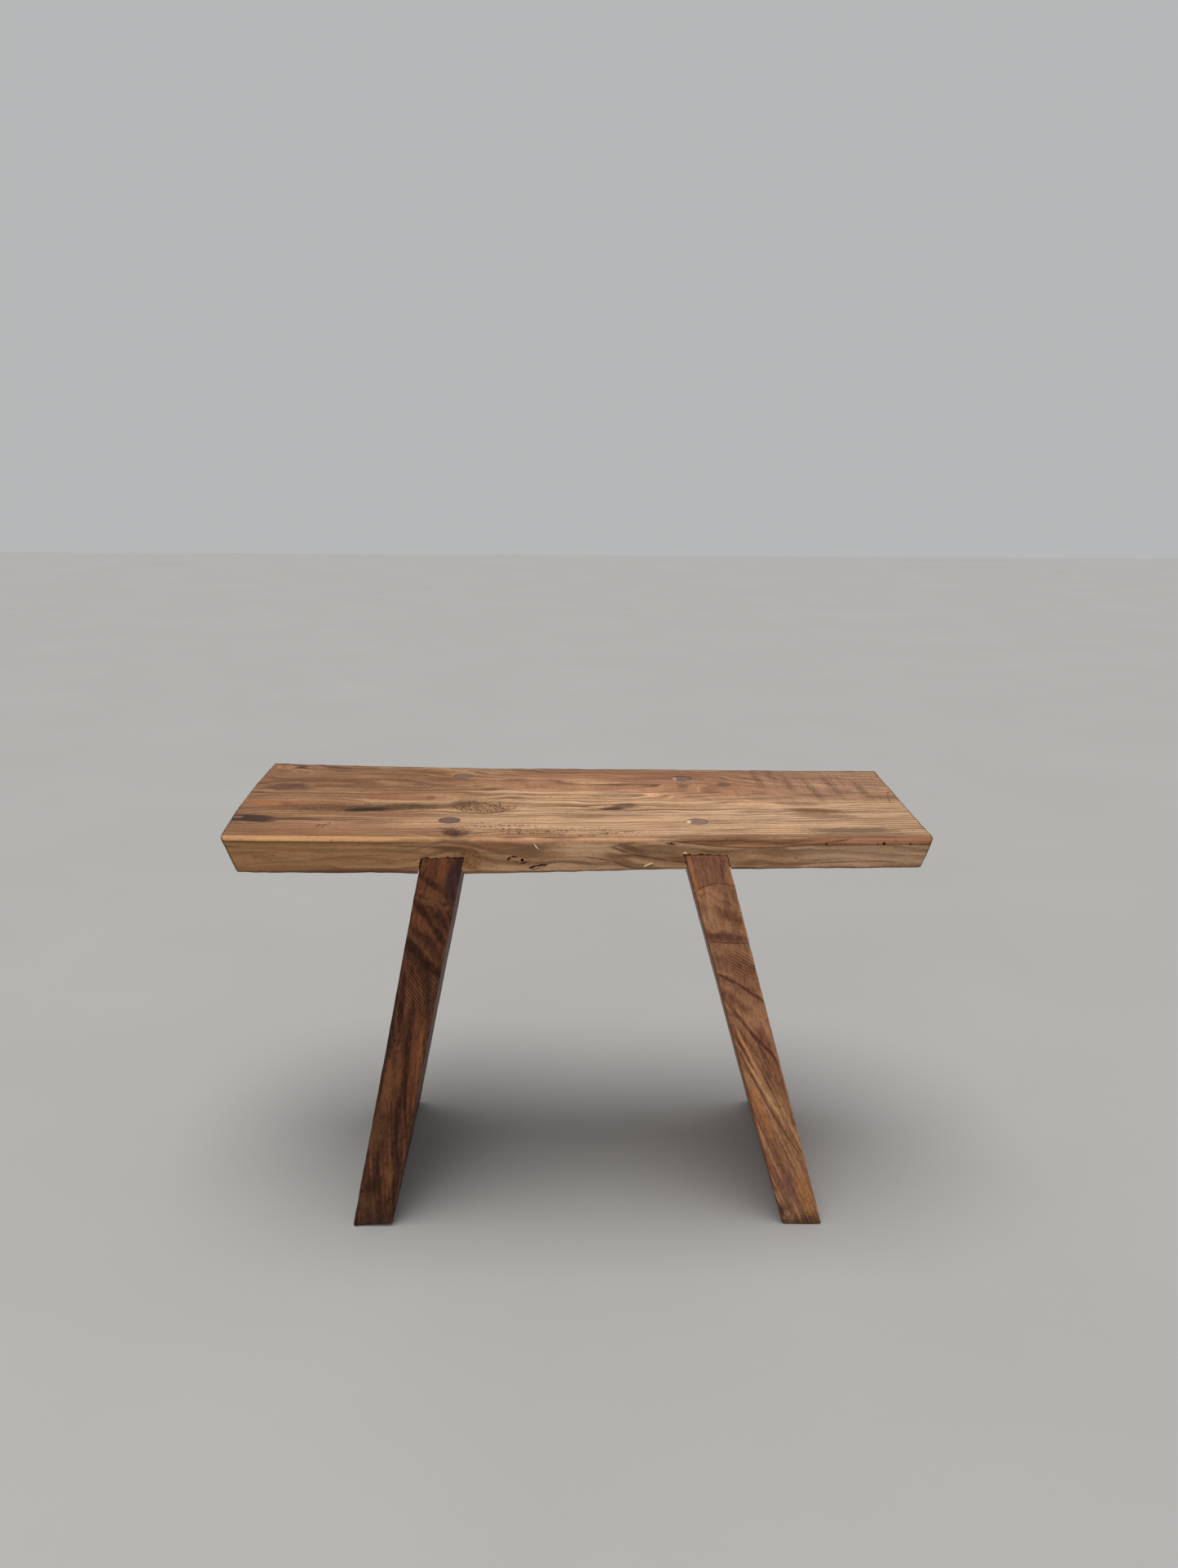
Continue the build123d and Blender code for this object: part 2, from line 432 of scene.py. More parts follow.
def leg_hole(leg, u, z, radius):
    """A beetle hole in a leg's front, 8 mm deep and rising a little."""
    path = [(leg.middle(z) + u, leg.low[1] + d, z + 0.15 * d) for d in (-2, 0.5, 3, 8)]
    return tube(path, [radius * f for f in (1.1, 1, 0.9, 0.6)])


PLUG_RADIUS = 11.5
PLUG_GAP = 0.22
PLUG_THICK = 3.4
PLUG_SIDES, PLUG_RINGS = 56, 12


def plug_centre(name):
    """Where a plug's CAD solid has its middle, seen from above."""
    low, high = node_box(name)
    return (low[0] + high[0]) / 2, (low[1] + high[1]) / 2


def recess_cutter(x, y):
    """The round hole that a plug sits in."""
    top = seat_top(x, y)
    radius = PLUG_RADIUS + PLUG_GAP
    return tube([(x, y, top - PLUG_THICK), (x, y, top + 6)], [radius, radius], PLUG_SIDES)


def build_plug(name, x, y, sink, lean, seed):
    """A short round plug, flush with the seat, its top slightly crowned and worn."""
    points = [(x, y, 0.0)]
    for ring, k in itertools.product(range(1, PLUG_RINGS + 1), range(PLUG_SIDES)):
        r = PLUG_RADIUS * ring / PLUG_RINGS
        turn = 2 * math.pi * k / PLUG_SIDES
        points.append((x + r * math.cos(turn), y + r * math.sin(turn), 0.0))
    points = np.array(points)
    out = np.hypot(points[:, 0] - x, points[:, 1] - y) / PLUG_RADIUS
    crown = -0.35 * smooth(out, 0.86, 1.0) + lean * (points[:, 0] - x) / PLUG_RADIUS
    points[:, 2] = seat_top(points[:, 0], y) - sink + crown + 0.12 * noise(points, (4, 3, 9), seed)
    foot = points[-PLUG_SIDES:].copy()
    foot[:, 2] = seat_top(x, y) - PLUG_THICK + 0.3
    points = np.concatenate((points, foot))

    faces = [[0, 1 + k, 1 + (k + 1) % PLUG_SIDES] for k in range(PLUG_SIDES)]
    for ring, k in itertools.product(range(PLUG_RINGS), range(PLUG_SIDES)):
        row = 1 + ring * PLUG_SIDES
        under = row + PLUG_SIDES
        after = (k + 1) % PLUG_SIDES
        faces.append([row + k, under + k, under + after, row + after])
    faces.append(list(range(len(points) - PLUG_SIDES, len(points)))[::-1])
    return make_object(name, points, faces)


# ---- Pattern tools: a node tree written as formulas ----

FRONT_SHARE = 0.65  # an upright face gets this much of the light that the seat's top gets
BRIGHTEST = 1.6


def tone(red, green, blue, light=1.0):
    """Surface colour that shows as this screen colour under the given share of full light."""
    screen = (red / 255, green / 255, blue / 255)
    linear = [c / 12.92 if c < 0.04045 else ((c + 0.055) / 1.055) ** 2.4 for c in screen]
    return (*[min(c / light, 0.95) for c in linear], 1.0)


def shaded(red, green, blue):
    """tone() for an upright face."""
    return tone(red, green, blue, FRONT_SHARE)


class Value:
    """A number, vector or colour in a node tree, so that patterns read as formulas."""

    __array_ufunc__ = None  # numpy's numbers leave the sums with a Value to it

    def __init__(self, net, socket):
        self.net = net
        self.socket = socket

    def __add__(self, other):
        return self.net.math("ADD", self, other)

    __radd__ = __add__

    def __sub__(self, other):
        return self.net.math("SUBTRACT", self, other)

    def __rsub__(self, other):
        return self.net.math("SUBTRACT", other, self)

    def __mul__(self, other):
        return self.net.math("MULTIPLY", self, other)

    __rmul__ = __mul__

    def __truediv__(self, other):
        return self.net.math("DIVIDE", self, other)


class Net:
    """One material's node tree."""

    def __init__(self, name):
        self.material = bpy.data.materials.new(name)
        self.material.use_nodes = True
        self.tree = self.material.node_tree
        self.tree.nodes.clear()
        coordinates = self.tree.nodes.new("ShaderNodeTexCoord")
        self.point = self.vector_math("SCALE", Value(self, coordinates.outputs["Object"]), scale=1 / MM)
        self.x, self.y, self.z = self.split(self.point)
        self.colour = None  # the wood's colour so far, which each layer changes

    def feed(self, socket, value):
        if isinstance(value, Value):
            self.tree.links.new(value.socket, socket)
        else:
            socket.default_value = value

    def math(self, operation, *values):
        made = self.tree.nodes.new("ShaderNodeMath")
        made.operation = operation
        for socket, value in zip(made.inputs, values):
            self.feed(socket, value)
        return Value(self, made.outputs[0])

    def vector_math(self, operation, *values, scale=None):
        made = self.tree.nodes.new("ShaderNodeVectorMath")
        made.operation = operation
        for socket, value in zip(made.inputs, values):
            self.feed(socket, value)
        if scale is not None:
            self.feed(made.inputs["Scale"], scale)
        return Value(self, made.outputs["Value" if operation in ("LENGTH", "DOT_PRODUCT") else "Vector"])

    def split(self, vector):
        made = self.tree.nodes.new("ShaderNodeSeparateXYZ")
        self.feed(made.inputs[0], vector)
        return [Value(self, made.outputs[axis]) for axis in range(3)]

    def vector(self, x, y, z):
        made = self.tree.nodes.new("ShaderNodeCombineXYZ")
        for socket, value in zip(made.inputs, (x, y, z)):
            self.feed(socket, value)
        return Value(self, made.outputs[0])

    def smooth(self, value, low, high):
        """0 below low, 1 above high and a smooth rise between; falls instead if high is below low."""
        made = self.tree.nodes.new("ShaderNodeMapRange")
        made.interpolation_type = "SMOOTHSTEP"
        rising = high > low
        for name, number in (("From Min", min(low, high)), ("From Max", max(low, high)),
                             ("To Min", 0.0 if rising else 1.0), ("To Max", 1.0 if rising else 0.0)):
            made.inputs[name].default_value = number
        self.feed(made.inputs["Value"], value)
        return Value(self, made.outputs["Result"])

    def smooth_line(self, value, low, high):
        """0 below low, 1 above high and a straight rise between."""
        made = self.tree.nodes.new("ShaderNodeMapRange")
        made.inputs["From Min"].default_value = low
        made.inputs["From Max"].default_value = high
        self.feed(made.inputs["Value"], value)
        return Value(self, made.outputs["Result"])

    def normal(self, axis):
        """One part of the surface's direction."""
        made = self.tree.nodes.new("ShaderNodeNewGeometry")
        return self.split(Value(self, made.outputs["Normal"]))[axis]

    def noise(self, cell, seed=0.0, at=None, detail=3.0, rough=0.55):
        """Cloudy noise from 0 to 1, with bumps of the given size along each axis."""
        scaled = self.tree.nodes.new("ShaderNodeVectorMath")
        scaled.operation = "MULTIPLY_ADD"
        self.feed(scaled.inputs[0], at or self.point)
        scaled.inputs[1].default_value = [1 / c for c in cell]
        scaled.inputs[2].default_value = (seed, seed * 1.7, seed * 0.6)
        made = self.tree.nodes.new("ShaderNodeTexNoise")
        made.inputs["Scale"].default_value = 1.0
        made.inputs["Detail"].default_value = detail
        made.inputs["Roughness"].default_value = rough
        self.tree.links.new(scaled.outputs[0], made.inputs["Vector"])
        return Value(self, made.outputs[0])

    def mix(self, share, first, second, blend="MIX"):
        """Colour from first to second by share."""
        made = self.tree.nodes.new("ShaderNodeMix")
        made.data_type = "RGBA"
        made.blend_type = blend
        made.clamp_factor = True
        for name, value in (("Factor_Float", share), ("A_Color", first), ("B_Color", second)):
            socket = next(s for s in made.inputs if s.identifier == name)
            self.feed(socket, value)
        return Value(self, next(s for s in made.outputs if s.identifier == "Result_Color"))

    def blend(self, share, first, second):
        """Number from first to second by share."""
        return first + (second - first) * share

    def over(self, share, paint):
        """Lays a colour over what is there, by share."""
        self.colour = self.mix(share, self.colour, paint)

    def shade(self, factor):
        """Makes the colour darker, or up to BRIGHTEST times lighter, by a number."""
        dimmed = self.mix(factor / BRIGHTEST, (0.0, 0.0, 0.0, 1.0), self.colour)
        self.colour = self.mix(1.0, dimmed, (BRIGHTEST, BRIGHTEST, BRIGHTEST, 1.0), "MULTIPLY")

    def spot(self, plane, centre, size, turn=0.0, soft=0.35, rough=0.5, ragged=None):
        """1 inside an ellipse, fading out over its ragged rim. Its length lies turn degrees up."""
        cos, sin = math.cos(math.radians(turn)), math.sin(math.radians(turn))
        away = self.vector_math("SUBTRACT", plane, (*centre, 0))
        along = self.vector_math("DOT_PRODUCT", away, (cos / size[0], sin / size[0], 0))
        aside = self.vector_math("DOT_PRODUCT", away, (-sin / size[1], cos / size[1], 0))
        distance = self.vector_math("LENGTH", self.vector(along, aside, 0.0))
        if ragged is not None:
            distance = self.math("MULTIPLY_ADD", ragged - 0.5, 2 * rough, distance)
        return self.smooth(distance, 1 + soft, 1 - soft)

    def stroke(self, plane, start, end, width, soft=0.5, rough=0.4, ragged=None):
        """1 along a straight stroke, fading at its sides and ends."""
        middle = ((start[0] + end[0]) / 2, (start[1] + end[1]) / 2)
        dx, dy = end[0] - start[0], end[1] - start[1]
        turn = math.degrees(math.atan2(dy, dx))
        return self.spot(plane, middle, (math.hypot(dx, dy) * 0.56, width), turn, soft, rough, ragged)

    def line(self, plane, path, width, soft=0.5, rough=0.4, ragged=None):
        """1 along a bent stroke."""
        parts = [self.stroke(plane, a, b, width, soft, rough, ragged) for a, b in itertools.pairwise(path)]
        whole = parts[0]
        for part in parts[1:]:
            whole = self.math("MAXIMUM", whole, part)
        return whole

    def spots(self, table, plane, where, ragged, light):
        """Lays ragged ellipses of colour over what is there."""
        for centre, size, turn, paint, strength, soft, rough in table:
            at = self.spot(plane, centre, size, turn, soft, rough, ragged)
            self.over(at * where * strength, tone(*paint, light))

    def lines(self, table, plane, where, ragged, light, soft=0.6, rough=0.6):
        """Lays bent strokes of colour over what is there."""
        for path, width, paint, strength in table:
            at = self.line(plane, path, width, soft, rough, ragged)
            self.over(at * where * strength, tone(*paint, light))

    def rings(self, radius, period, sharp=0.8):
        """Growth rings: slowly darkening early wood, then a crisp late-wood line."""
        turn = self.math("FRACT", radius / period)
        return self.smooth(turn, 0.15, sharp) * self.smooth(turn, 1.0, sharp + (1 - sharp) * 0.35)

    def surface(self, roughness, height, specular=0.35, metallic=0.0):
        """Ends the tree: its colour, a roughness and a height in millimetres for the fine relief."""
        shader = self.tree.nodes.new("ShaderNodeBsdfPrincipled")
        self.feed(shader.inputs["Base Color"], self.colour)
        self.feed(shader.inputs["Roughness"], roughness)
        shader.inputs["Specular IOR Level"].default_value = specular
        shader.inputs["Metallic"].default_value = metallic
        bump = self.tree.nodes.new("ShaderNodeBump")
        bump.inputs["Strength"].default_value = 1.0
        bump.inputs["Distance"].default_value = MM
        self.feed(bump.inputs["Height"], height)
        self.tree.links.new(bump.outputs[0], shader.inputs["Normal"])
        output = self.tree.nodes.new("ShaderNodeOutputMaterial")
        self.tree.links.new(shader.outputs[0], output.inputs["Surface"])
        return self.material


# ---- Wood ----

PITH_Y, PITH_Z = 38, 318  # the tree's heart ran below the seat
LOWER_ARRIS_Z = 414  # the front's lower arris: level until this far left of the middle, then rising
LOWER_ARRIS_LEVEL = 110
LOWER_ARRIS_RISE = 0.0135
SEAT_KNOTS = (
    # x, y, reach along, reach across, how far the grain bends round it
    (48, -46, 52, 15, 0.95), (-123, -138, 30, 18, 0.9), (-103, -46, 48, 24, 0.7),
    (-226, -53, 60, 11, 0.7), (-330, 42, 34, 20, 0.8), (179, 52, 22, 14, 0.8),
    (-180, -6, 60, 18, 0.8), (132, 80, 30, 15, 0.6), (-345, -92, 45, 16, 0.7),
)


def grain_field(net):
    """The seat's growth: distance from the pith, and a place that follows the fibres."""
    x, y, z = net.x, net.y, net.z
    slow = net.noise((230, 90, 70), 3.1, detail=2)
    mild = net.noise((90, 26, 22), 5.7, detail=2)
    lean = net.smooth(y, -80, 60)
    grain = y + x * 0.13 * lean
    for knot_x, knot_y, reach, spread, bend in SEAT_KNOTS:
        dx, dy = (x - knot_x) / reach, (y - knot_y) / spread
        near = net.math("EXPONENT", (dx * dx + dy * dy) * -1.0)
        grain = grain - (y - knot_y) * near * bend
    rise = z - PITH_Z + x * 0.022 + (slow - 0.5) * 34
    off = grain - PITH_Y + (slow - 0.5) * 22
    radius = net.math("SQRT", off * off + rise * rise) + (mild - 0.5) * 11
    return radius, net.vector(x, radius, z * 0.15), mild


# The tables' colours are as they show on screen; tone() makes surface colours of them.
TOP_MARKS = (
    # centre, size, turn, colour, strength, softness, roughness of the rim
    ((-347, -92), (28, 16), -8, (54, 36, 33), 0.95, 0.35, 1.3),
    ((-359, -86), (6, 4), 0, (150, 112, 100), 0.5, 0.5, 0.8),
    ((-346, -105), (18, 3), -8, (170, 126, 92), 0.5, 0.5, 0.5),
    ((-300, -92), (34, 5), 0, (80, 52, 38), 0.8, 0.5, 1.0),
    ((-330, -29), (42, 9), -4, (156, 100, 58), 0.55, 0.6, 1.0),
    ((-318, -31), (7, 6), 0, (112, 62, 44), 0.55, 0.5, 0.8),
    ((-285, -45), (46, 13), 4, (98, 66, 46), 0.7, 0.5, 1.2),
    ((-205, -47), (72, 13), 5, (88, 62, 42), 0.8, 0.5, 1.1),
    ((-226, -54), (26, 7), 9, (38, 27, 24), 0.95, 0.4, 0.9),
    ((-178, -41), (30, 8), 2, (78, 62, 44), 0.7, 0.5, 1.1),
    ((-330, 43), (26, 16), -12, (86, 58, 44), 0.75, 0.45, 1.0),
    ((-326, 46), (8, 6), 0, (84, 58, 50), 0.5, 0.5, 0.9),
    ((-300, 100), (70, 14), 0, (128, 92, 68), 0.5, 0.7, 1.0),
    ((-196, -4), (46, 10), -4, (138, 88, 60), 0.72, 0.35, 0.8),
    ((-161, -5), (5, 7), 0, (96, 60, 44), 0.6, 0.5, 0.6),
    ((-146, 8), (34, 10), 0, (142, 108, 80), 0.5, 0.7, 0.8),
    ((-121, -33), (19, 14), 16, (90, 64, 46), 0.74, 0.35, 1.2),
    ((-92, -48), (29, 22), 0, (136, 102, 72), 0.7, 0.4, 0.8),
    ((-126, -140), (10, 14), 20, (70, 47, 33), 0.85, 0.4, 1.3),
    ((-113, -140), (7, 10), 0, (96, 66, 46), 0.6, 0.5, 1.3),
    ((-135, -125), (9, 4), 0, (112, 76, 52), 0.6, 0.5, 0.9),
    ((-16, -155), (20, 4.5), 0, (88, 56, 42), 0.8, 0.5, 0.8),
    ((-63, -155), (13, 4), 0, (92, 58, 40), 0.75, 0.5, 0.8),
    ((0, -70), (34, 5), -3, (112, 84, 58), 0.5, 0.6, 0.9),
    ((43, -49), (14, 6.5), 3, (64, 42, 32), 0.94, 0.35, 0.9),
    ((57, -37), (16, 9), 12, (84, 60, 42), 0.8, 0.4, 1.0),
    ((55, -62), (9, 5), 0, (160, 126, 112), 0.5, 0.6, 0.7),
    ((179, 52), (8, 9), 0, (76, 52, 42), 0.85, 0.4, 0.9),
    ((118, 84), (52, 9), 3, (104, 70, 54), 0.65, 0.5, 1.0),
    ((132, 60), (60, 10), 0, (140, 100, 78), 0.4, 0.7, 0.9),
    ((264, -58), (32, 9), -8, (104, 72, 48), 0.85, 0.4, 1.5),
    ((250, -29), (26, 7), -6, (116, 82, 58), 0.65, 0.5, 1.0),
    ((272, -79), (32, 8), -4, (110, 78, 56), 0.65, 0.5, 1.0),
    ((290, -131), (46, 9), -1, (86, 68, 53), 0.7, 0.4, 1.6),
    ((296, -147), (60, 8), 0, (114, 88, 67), 0.6, 0.5, 1.2),
    ((150, -152), (90, 7), 0, (104, 74, 54), 0.7, 0.5, 0.9),
    ((-250, -135), (100, 14), 0, (140, 96, 70), 0.4, 0.8, 0.8),
)
TOP_LINES = (
    # path, width, colour, strength
    (((-133, -38), (-114, -20), (-92, -32), (-73, -54)), 1.8, (96, 66, 46), 0.7),
    (((-134, -42), (-114, -66), (-92, -69), (-73, -54)), 1.6, (104, 72, 50), 0.65),
    (((-96, -22), (-40, -29), (40, -40)), 2.2, (112, 78, 54), 0.65),
    (((-10, -38), (36, -48)), 1.8, (100, 68, 48), 0.7),
    (((50, -54), (100, -53), (150, -55)), 1.5, (104, 72, 50), 0.75),
    (((62, -40), (92, -35), (140, -37)), 1.5, (112, 78, 54), 0.6),
    (((-60, -44), (10, -52), (30, -56)), 1.4, (120, 84, 58), 0.5),
    (((-160, -12), (-190, -13), (-240, -10)), 1.4, (106, 70, 50), 0.6),
    (((-268, -123), (-265, -112)), 1.3, (84, 56, 40), 0.8),
    (((-262, -122), (-260, -110)), 1.3, (84, 56, 40), 0.8),
    (((-257, -114), (-256, -104)), 1.1, (90, 60, 44), 0.7),
    (((366, 18), (360, -4), (357, -26)), 1.0, (92, 62, 46), 0.7),
)
SAW_STROKES = (
    # the two ends of each stroke across the board
    ((221, 117), (224, 30)), ((255, 88), (257, 24)), ((277, 82), (283, -21)),
    ((303, 94), (308, -2)), ((335, 68), (340, -14)), ((240, 118), (243, 70)),
)
FRONT_MARKS = (
    # the same, placed by x and height
    ((-270, 432), (110, 22), 0, (138, 102, 68), 0.5, 0.6, 0.6),
    ((-225, 415.5), (70, 3.4), 0, (78, 46, 36), 0.65, 0.6, 0.8),
    ((-300, 446), (50, 3.0), 0, (104, 80, 46), 0.5, 0.7, 0.6),
    ((-104, 428), (9, 12), 0, (116, 78, 44), 0.62, 0.4, 0.8),
    ((-112, 438), (14, 5), -10, (110, 76, 46), 0.5, 0.5, 0.9),
    ((-128, 441), (22, 2.6), -4, (78, 54, 36), 0.7, 0.5, 0.9),
    ((-70, 443), (36, 4.4), -3, (100, 68, 42), 0.6, 0.6, 0.8),
    ((-44, 441), (15, 7), 10, (86, 64, 44), 0.4, 0.6, 0.8),
    ((-20, 419), (80, 3.6), 2, (156, 126, 96), 0.5, 0.6, 0.7),
    ((20, 446), (40, 2.2), 0, (150, 116, 82), 0.5, 0.6, 0.6),
    ((14, 439), (32, 7), 0, (174, 142, 112), 0.65, 0.6, 0.6),
    ((86, 436.5), (44, 8.6), -12, (116, 86, 62), 0.66, 0.35, 0.5),
    ((56, 442), (11, 3.2), -22, (84, 60, 44), 0.75, 0.4, 0.9),
    ((66, 438), (12, 2.6), -22, (92, 64, 46), 0.6, 0.5, 0.9),
    ((104, 441.5), (18, 3.4), -6, (128, 98, 74), 0.5, 0.5, 0.8),
    ((108, 430.5), (14, 3.0), -8, (88, 60, 44), 0.6, 0.5, 0.9),
    ((50, 427.5), (18, 4.6), -24, (98, 72, 52), 0.7, 0.45, 0.8),
    ((72, 421), (16, 2.8), -10, (112, 84, 62), 0.6, 0.5, 0.8),
    ((76.5, 423.8), (4.4, 1.2), 24, (196, 166, 130), 0.9, 0.3, 0.5),
    ((77.5, 422.3), (4.2, 0.8), 24, (70, 50, 38), 0.8, 0.4, 0.5),
    ((113, 436.2), (1.7, 1.3), 0, (196, 166, 120), 0.9, 0.4, 0.5),
    ((99, 446), (5, 1.3), -8, (66, 44, 34), 0.8, 0.5, 0.6),
    ((170, 419.6), (18, 2.0), 2, (70, 42, 36), 0.75, 0.5, 0.7),
    ((210, 421.5), (26, 2.4), 5, (112, 74, 58), 0.6, 0.6, 0.7),
    ((300, 436), (74, 11), 0, (154, 124, 100), 0.5, 0.7, 0.8),
    ((150, 430), (16, 10), 0, (120, 92, 68), 0.4, 0.7, 0.8),
)
FRONT_LINES = (
    (((39, 442.3), (58, 435.5), (77, 431.5), (97, 428.0), (118, 426.0)), 0.75, (70, 48, 36), 0.9),
    (((39, 442.6), (51, 445.8), (64, 447.2)), 0.7, (82, 58, 42), 0.75),
    (((11, 431.9), (25, 430.4), (40, 427.4), (51, 422.9), (64, 419.6), (84, 418.6)),
     0.7, (76, 54, 40), 0.85),
    (((-34, 431.2), (-8, 431.4), (11, 431.9)), 0.6, (104, 78, 56), 0.55),
    (((62, 441.4), (80, 437.4), (104, 435.0)), 0.7, (92, 66, 48), 0.6),
    (((193, 422.2), (222, 424.2), (250, 425.8), (293, 427.6), (328, 427.4)), 0.8, (94, 66, 48), 0.7),
    (((250, 421.8), (300, 423.0), (350, 423.4)), 0.8, (116, 86, 66), 0.5),
    (((-184, 443.6), (-150, 442.6), (-118, 441.0)), 0.9, (82, 58, 38), 0.65),
    (((-186, 437.6), (-158, 436.4), (-148, 434.0)), 1.2, (92, 66, 42), 0.55),
    (((-330, 424), (-270, 428), (-220, 432.5), (-186, 434)), 0.8, (100, 72, 46), 0.6),
    (((-300, 420), (-240, 423), (-190, 425)), 0.7, (104, 76, 50), 0.5),
    (((-345, 436), (-290, 437), (-240, 441)), 0.7, (102, 76, 46), 0.5),
)


class SeatWood(Net):
    """The seat's wood: the fields that its layers share, then the layers themselves."""

    def __init__(self):
        super().__init__("seat_wood")
        x, y, z = self.x, self.y, self.z
        self.radius, self.along, self.mild = grain_field(self)
        self.grit = self.noise((5, 5, 5), 8.3, detail=4, rough=0.65)
        self.speck = self.noise((2.4, 2.4, 2.4), 9.4, detail=3, rough=0.7)
        self.rows = self.noise((44, 1.7, 6), 7.7, self.along, detail=4, rough=0.68)
        self.streaks = self.noise((190, 6.2, 9), 1.3, self.along, detail=5, rough=0.7)
        self.tear = self.noise((12, 8, 6), 23.1, detail=4, rough=0.7)
        self.pit = self.noise((3.4, 6.5, 3.4), 9.4, detail=3, rough=0.7)
        self.wide = self.noise((300, 13, 30), 2.9, self.along, detail=2)
        self.fibres = self.noise((14, 0.5, 2.0), 4.4, self.along, detail=3, rough=0.65)
        self.bands = self.rings(self.radius, 4.9)
        self.fine = self.rings(self.radius + (self.grit - 0.5) * 0.8, 2.2, 0.7)
        sway = self.rows - 0.5
        self.top_plane = self.vector(x + sway * 5, y + sway * 1.5, 0.0)
        self.front_plane = self.vector(x + sway * 3, z + sway * 0.5, 0.0)
        self.below = seat_top_value(self, x, y) - z
        self.on_top = self.smooth(self.below, 9, 3)
        self.on_front = self.smooth(y, FRONT + 9, FRONT + 3)

    def zones(self):
        """The even colour of the board, then its darker and lighter stretches."""
        x, y = self.x, self.y
        self.colour = self.mix(self.smooth(self.wide, 0.36, 0.64), tone(180, 143, 109), tone(146, 108, 78))
        honey = self.spot(self.top_plane, (170, -80), (240, 66), soft=0.8, rough=0.8, ragged=self.mild)
        self.over(honey * 0.6, tone(192, 157, 126))
        heart = self.smooth(y + x * 0.145 - 27 + (self.mild - 0.5) * 16 + (self.rows - 0.5) * 8, -4, 5)
        self.over(heart * self.smooth(x, -170, -60) * 0.88, tone(140, 100, 74))
        leftwards = self.smooth(x + (self.mild - 0.5) * 80, -40, -250)
        self.over(leftwards * 0.86, tone(132, 95, 68))
        left_back = leftwards * self.smooth(y + (self.mild - 0.5) * 60, -10, 60)
        self.over(left_back * 0.6, tone(112, 80, 57))
        end_zone = self.smooth(x + (self.mild - 0.5) * 90, -285, -360)
        self.over(end_zone * 0.4, tone(118, 84, 62))
        far_back = self.smooth(y - back_edge_value(self, x), -34, -4)
        self.over(far_back * 0.4, tone(124, 88, 66))
        worn = self.smooth(x + (self.mild - 0.5) * 120, 190, 330)
        self.over(worn * 0.4, tone(158, 127, 100))

    def figure(self):
        """Rings, streaks and fibres."""
        contrast = self.smooth(self.noise((150, 22, 30), 6.1, detail=2), 0.3, 0.7)
        self.shade(1.19 - self.bands * (contrast * 0.52 + 0.24))
        self.shade(1.05 - self.fine * (contrast * 0.12 + 0.08))
        self.over(self.smooth(self.streaks, 0.51, 0.64) * 0.62, tone(112, 76, 51))
        self.over(self.smooth(self.streaks, 0.45, 0.33) * 0.42, tone(204, 166, 128))
        self.shade(1.08 - self.smooth(self.rows, 0.48, 0.66) * 0.26)
        self.shade(0.84 + self.fibres * 0.32)
        self.shade(1.05 - self.smooth(self.speck, 0.48, 0.62) * 0.15)

    def top_marks(self):
        """Knots, the bark inclusion and stains, placed by x and y."""
        ragged = self.tear * 0.5 + self.streaks * 0.5
        self.spots(TOP_MARKS, self.top_plane, self.on_top, ragged, 1.0)
        self.lines(TOP_LINES, self.top_plane, self.on_top, self.grit, 1.0)
        burl = self.spot(self.top_plane, (-98, -45), (34, 24), soft=0.4, rough=0.6, ragged=self.grit)
        knot = self.spot(self.top_plane, (-123, -138), (13, 14), soft=0.5, rough=0.6, ragged=self.grit)
        self.pits = self.smooth(self.pit, 0.51, 0.60) * self.math("MAXIMUM", burl, knot) * self.on_top
        self.over(self.pits * 0.8, tone(66, 45, 32))
        olive = self.spot(self.top_plane, (-232, -46), (74, 16), 3, 0.5, 0.6, self.tear)
        self.over(self.smooth(self.pit, 0.48, 0.60) * olive * self.on_top * 0.65, tone(62, 47, 33))

    def sawing(self):
        """Strokes across the board at its right back, and chatter near its front edge."""
        x, y, z = self.x, self.y, self.z
        zone = self.spot(self.top_plane, (285, 50), (84, 76), soft=0.5, rough=0.5, ragged=self.mild)
        self.saw_zone = zone * self.on_top
        self.over(self.saw_zone * 0.4, tone(146, 110, 88))
        dashes = self.noise((2.2, 5.5, 9), 11.2, detail=4, rough=0.7)
        kerfs = self.stroke(self.top_plane, *SAW_STROKES[0], 5.0, 0.7, 0.9, dashes)
        for stroke in SAW_STROKES[1:]:
            kerf = self.stroke(self.top_plane, *stroke, 5.0, 0.7, 0.9, dashes)
            kerfs = self.math("MAXIMUM", kerfs, kerf)
        kerfs = kerfs * self.smooth(dashes, 0.42, 0.58) * self.on_top
        self.slant = x + y * 0.036 + (self.mild - 0.5) * 8
        faint = self.noise((2.6, 90, 60), 12.2, self.vector(self.slant, y, z), detail=2)
        faint = self.smooth(faint, 0.52, 0.68) * self.saw_zone * 0.45
        self.kerfs = self.math("MAXIMUM", kerfs, faint)
        self.over(self.kerfs * 0.72, tone(92, 64, 49))
        chatter_zone = self.spot(self.top_plane, (-42, -129), (88, 21), -6, 0.5, 0.7, self.mild) * self.on_top
        tick_rows = self.smooth(self.noise((34, 4.0, 9), 13.3, detail=2), 0.44, 0.58)
        tick = self.smooth(self.noise((2.3, 5.5, 9), 12.1, detail=2), 0.50, 0.60)
        self.ticks = tick * tick_rows * chatter_zone
        self.over(self.ticks * 0.9, tone(80, 53, 36))

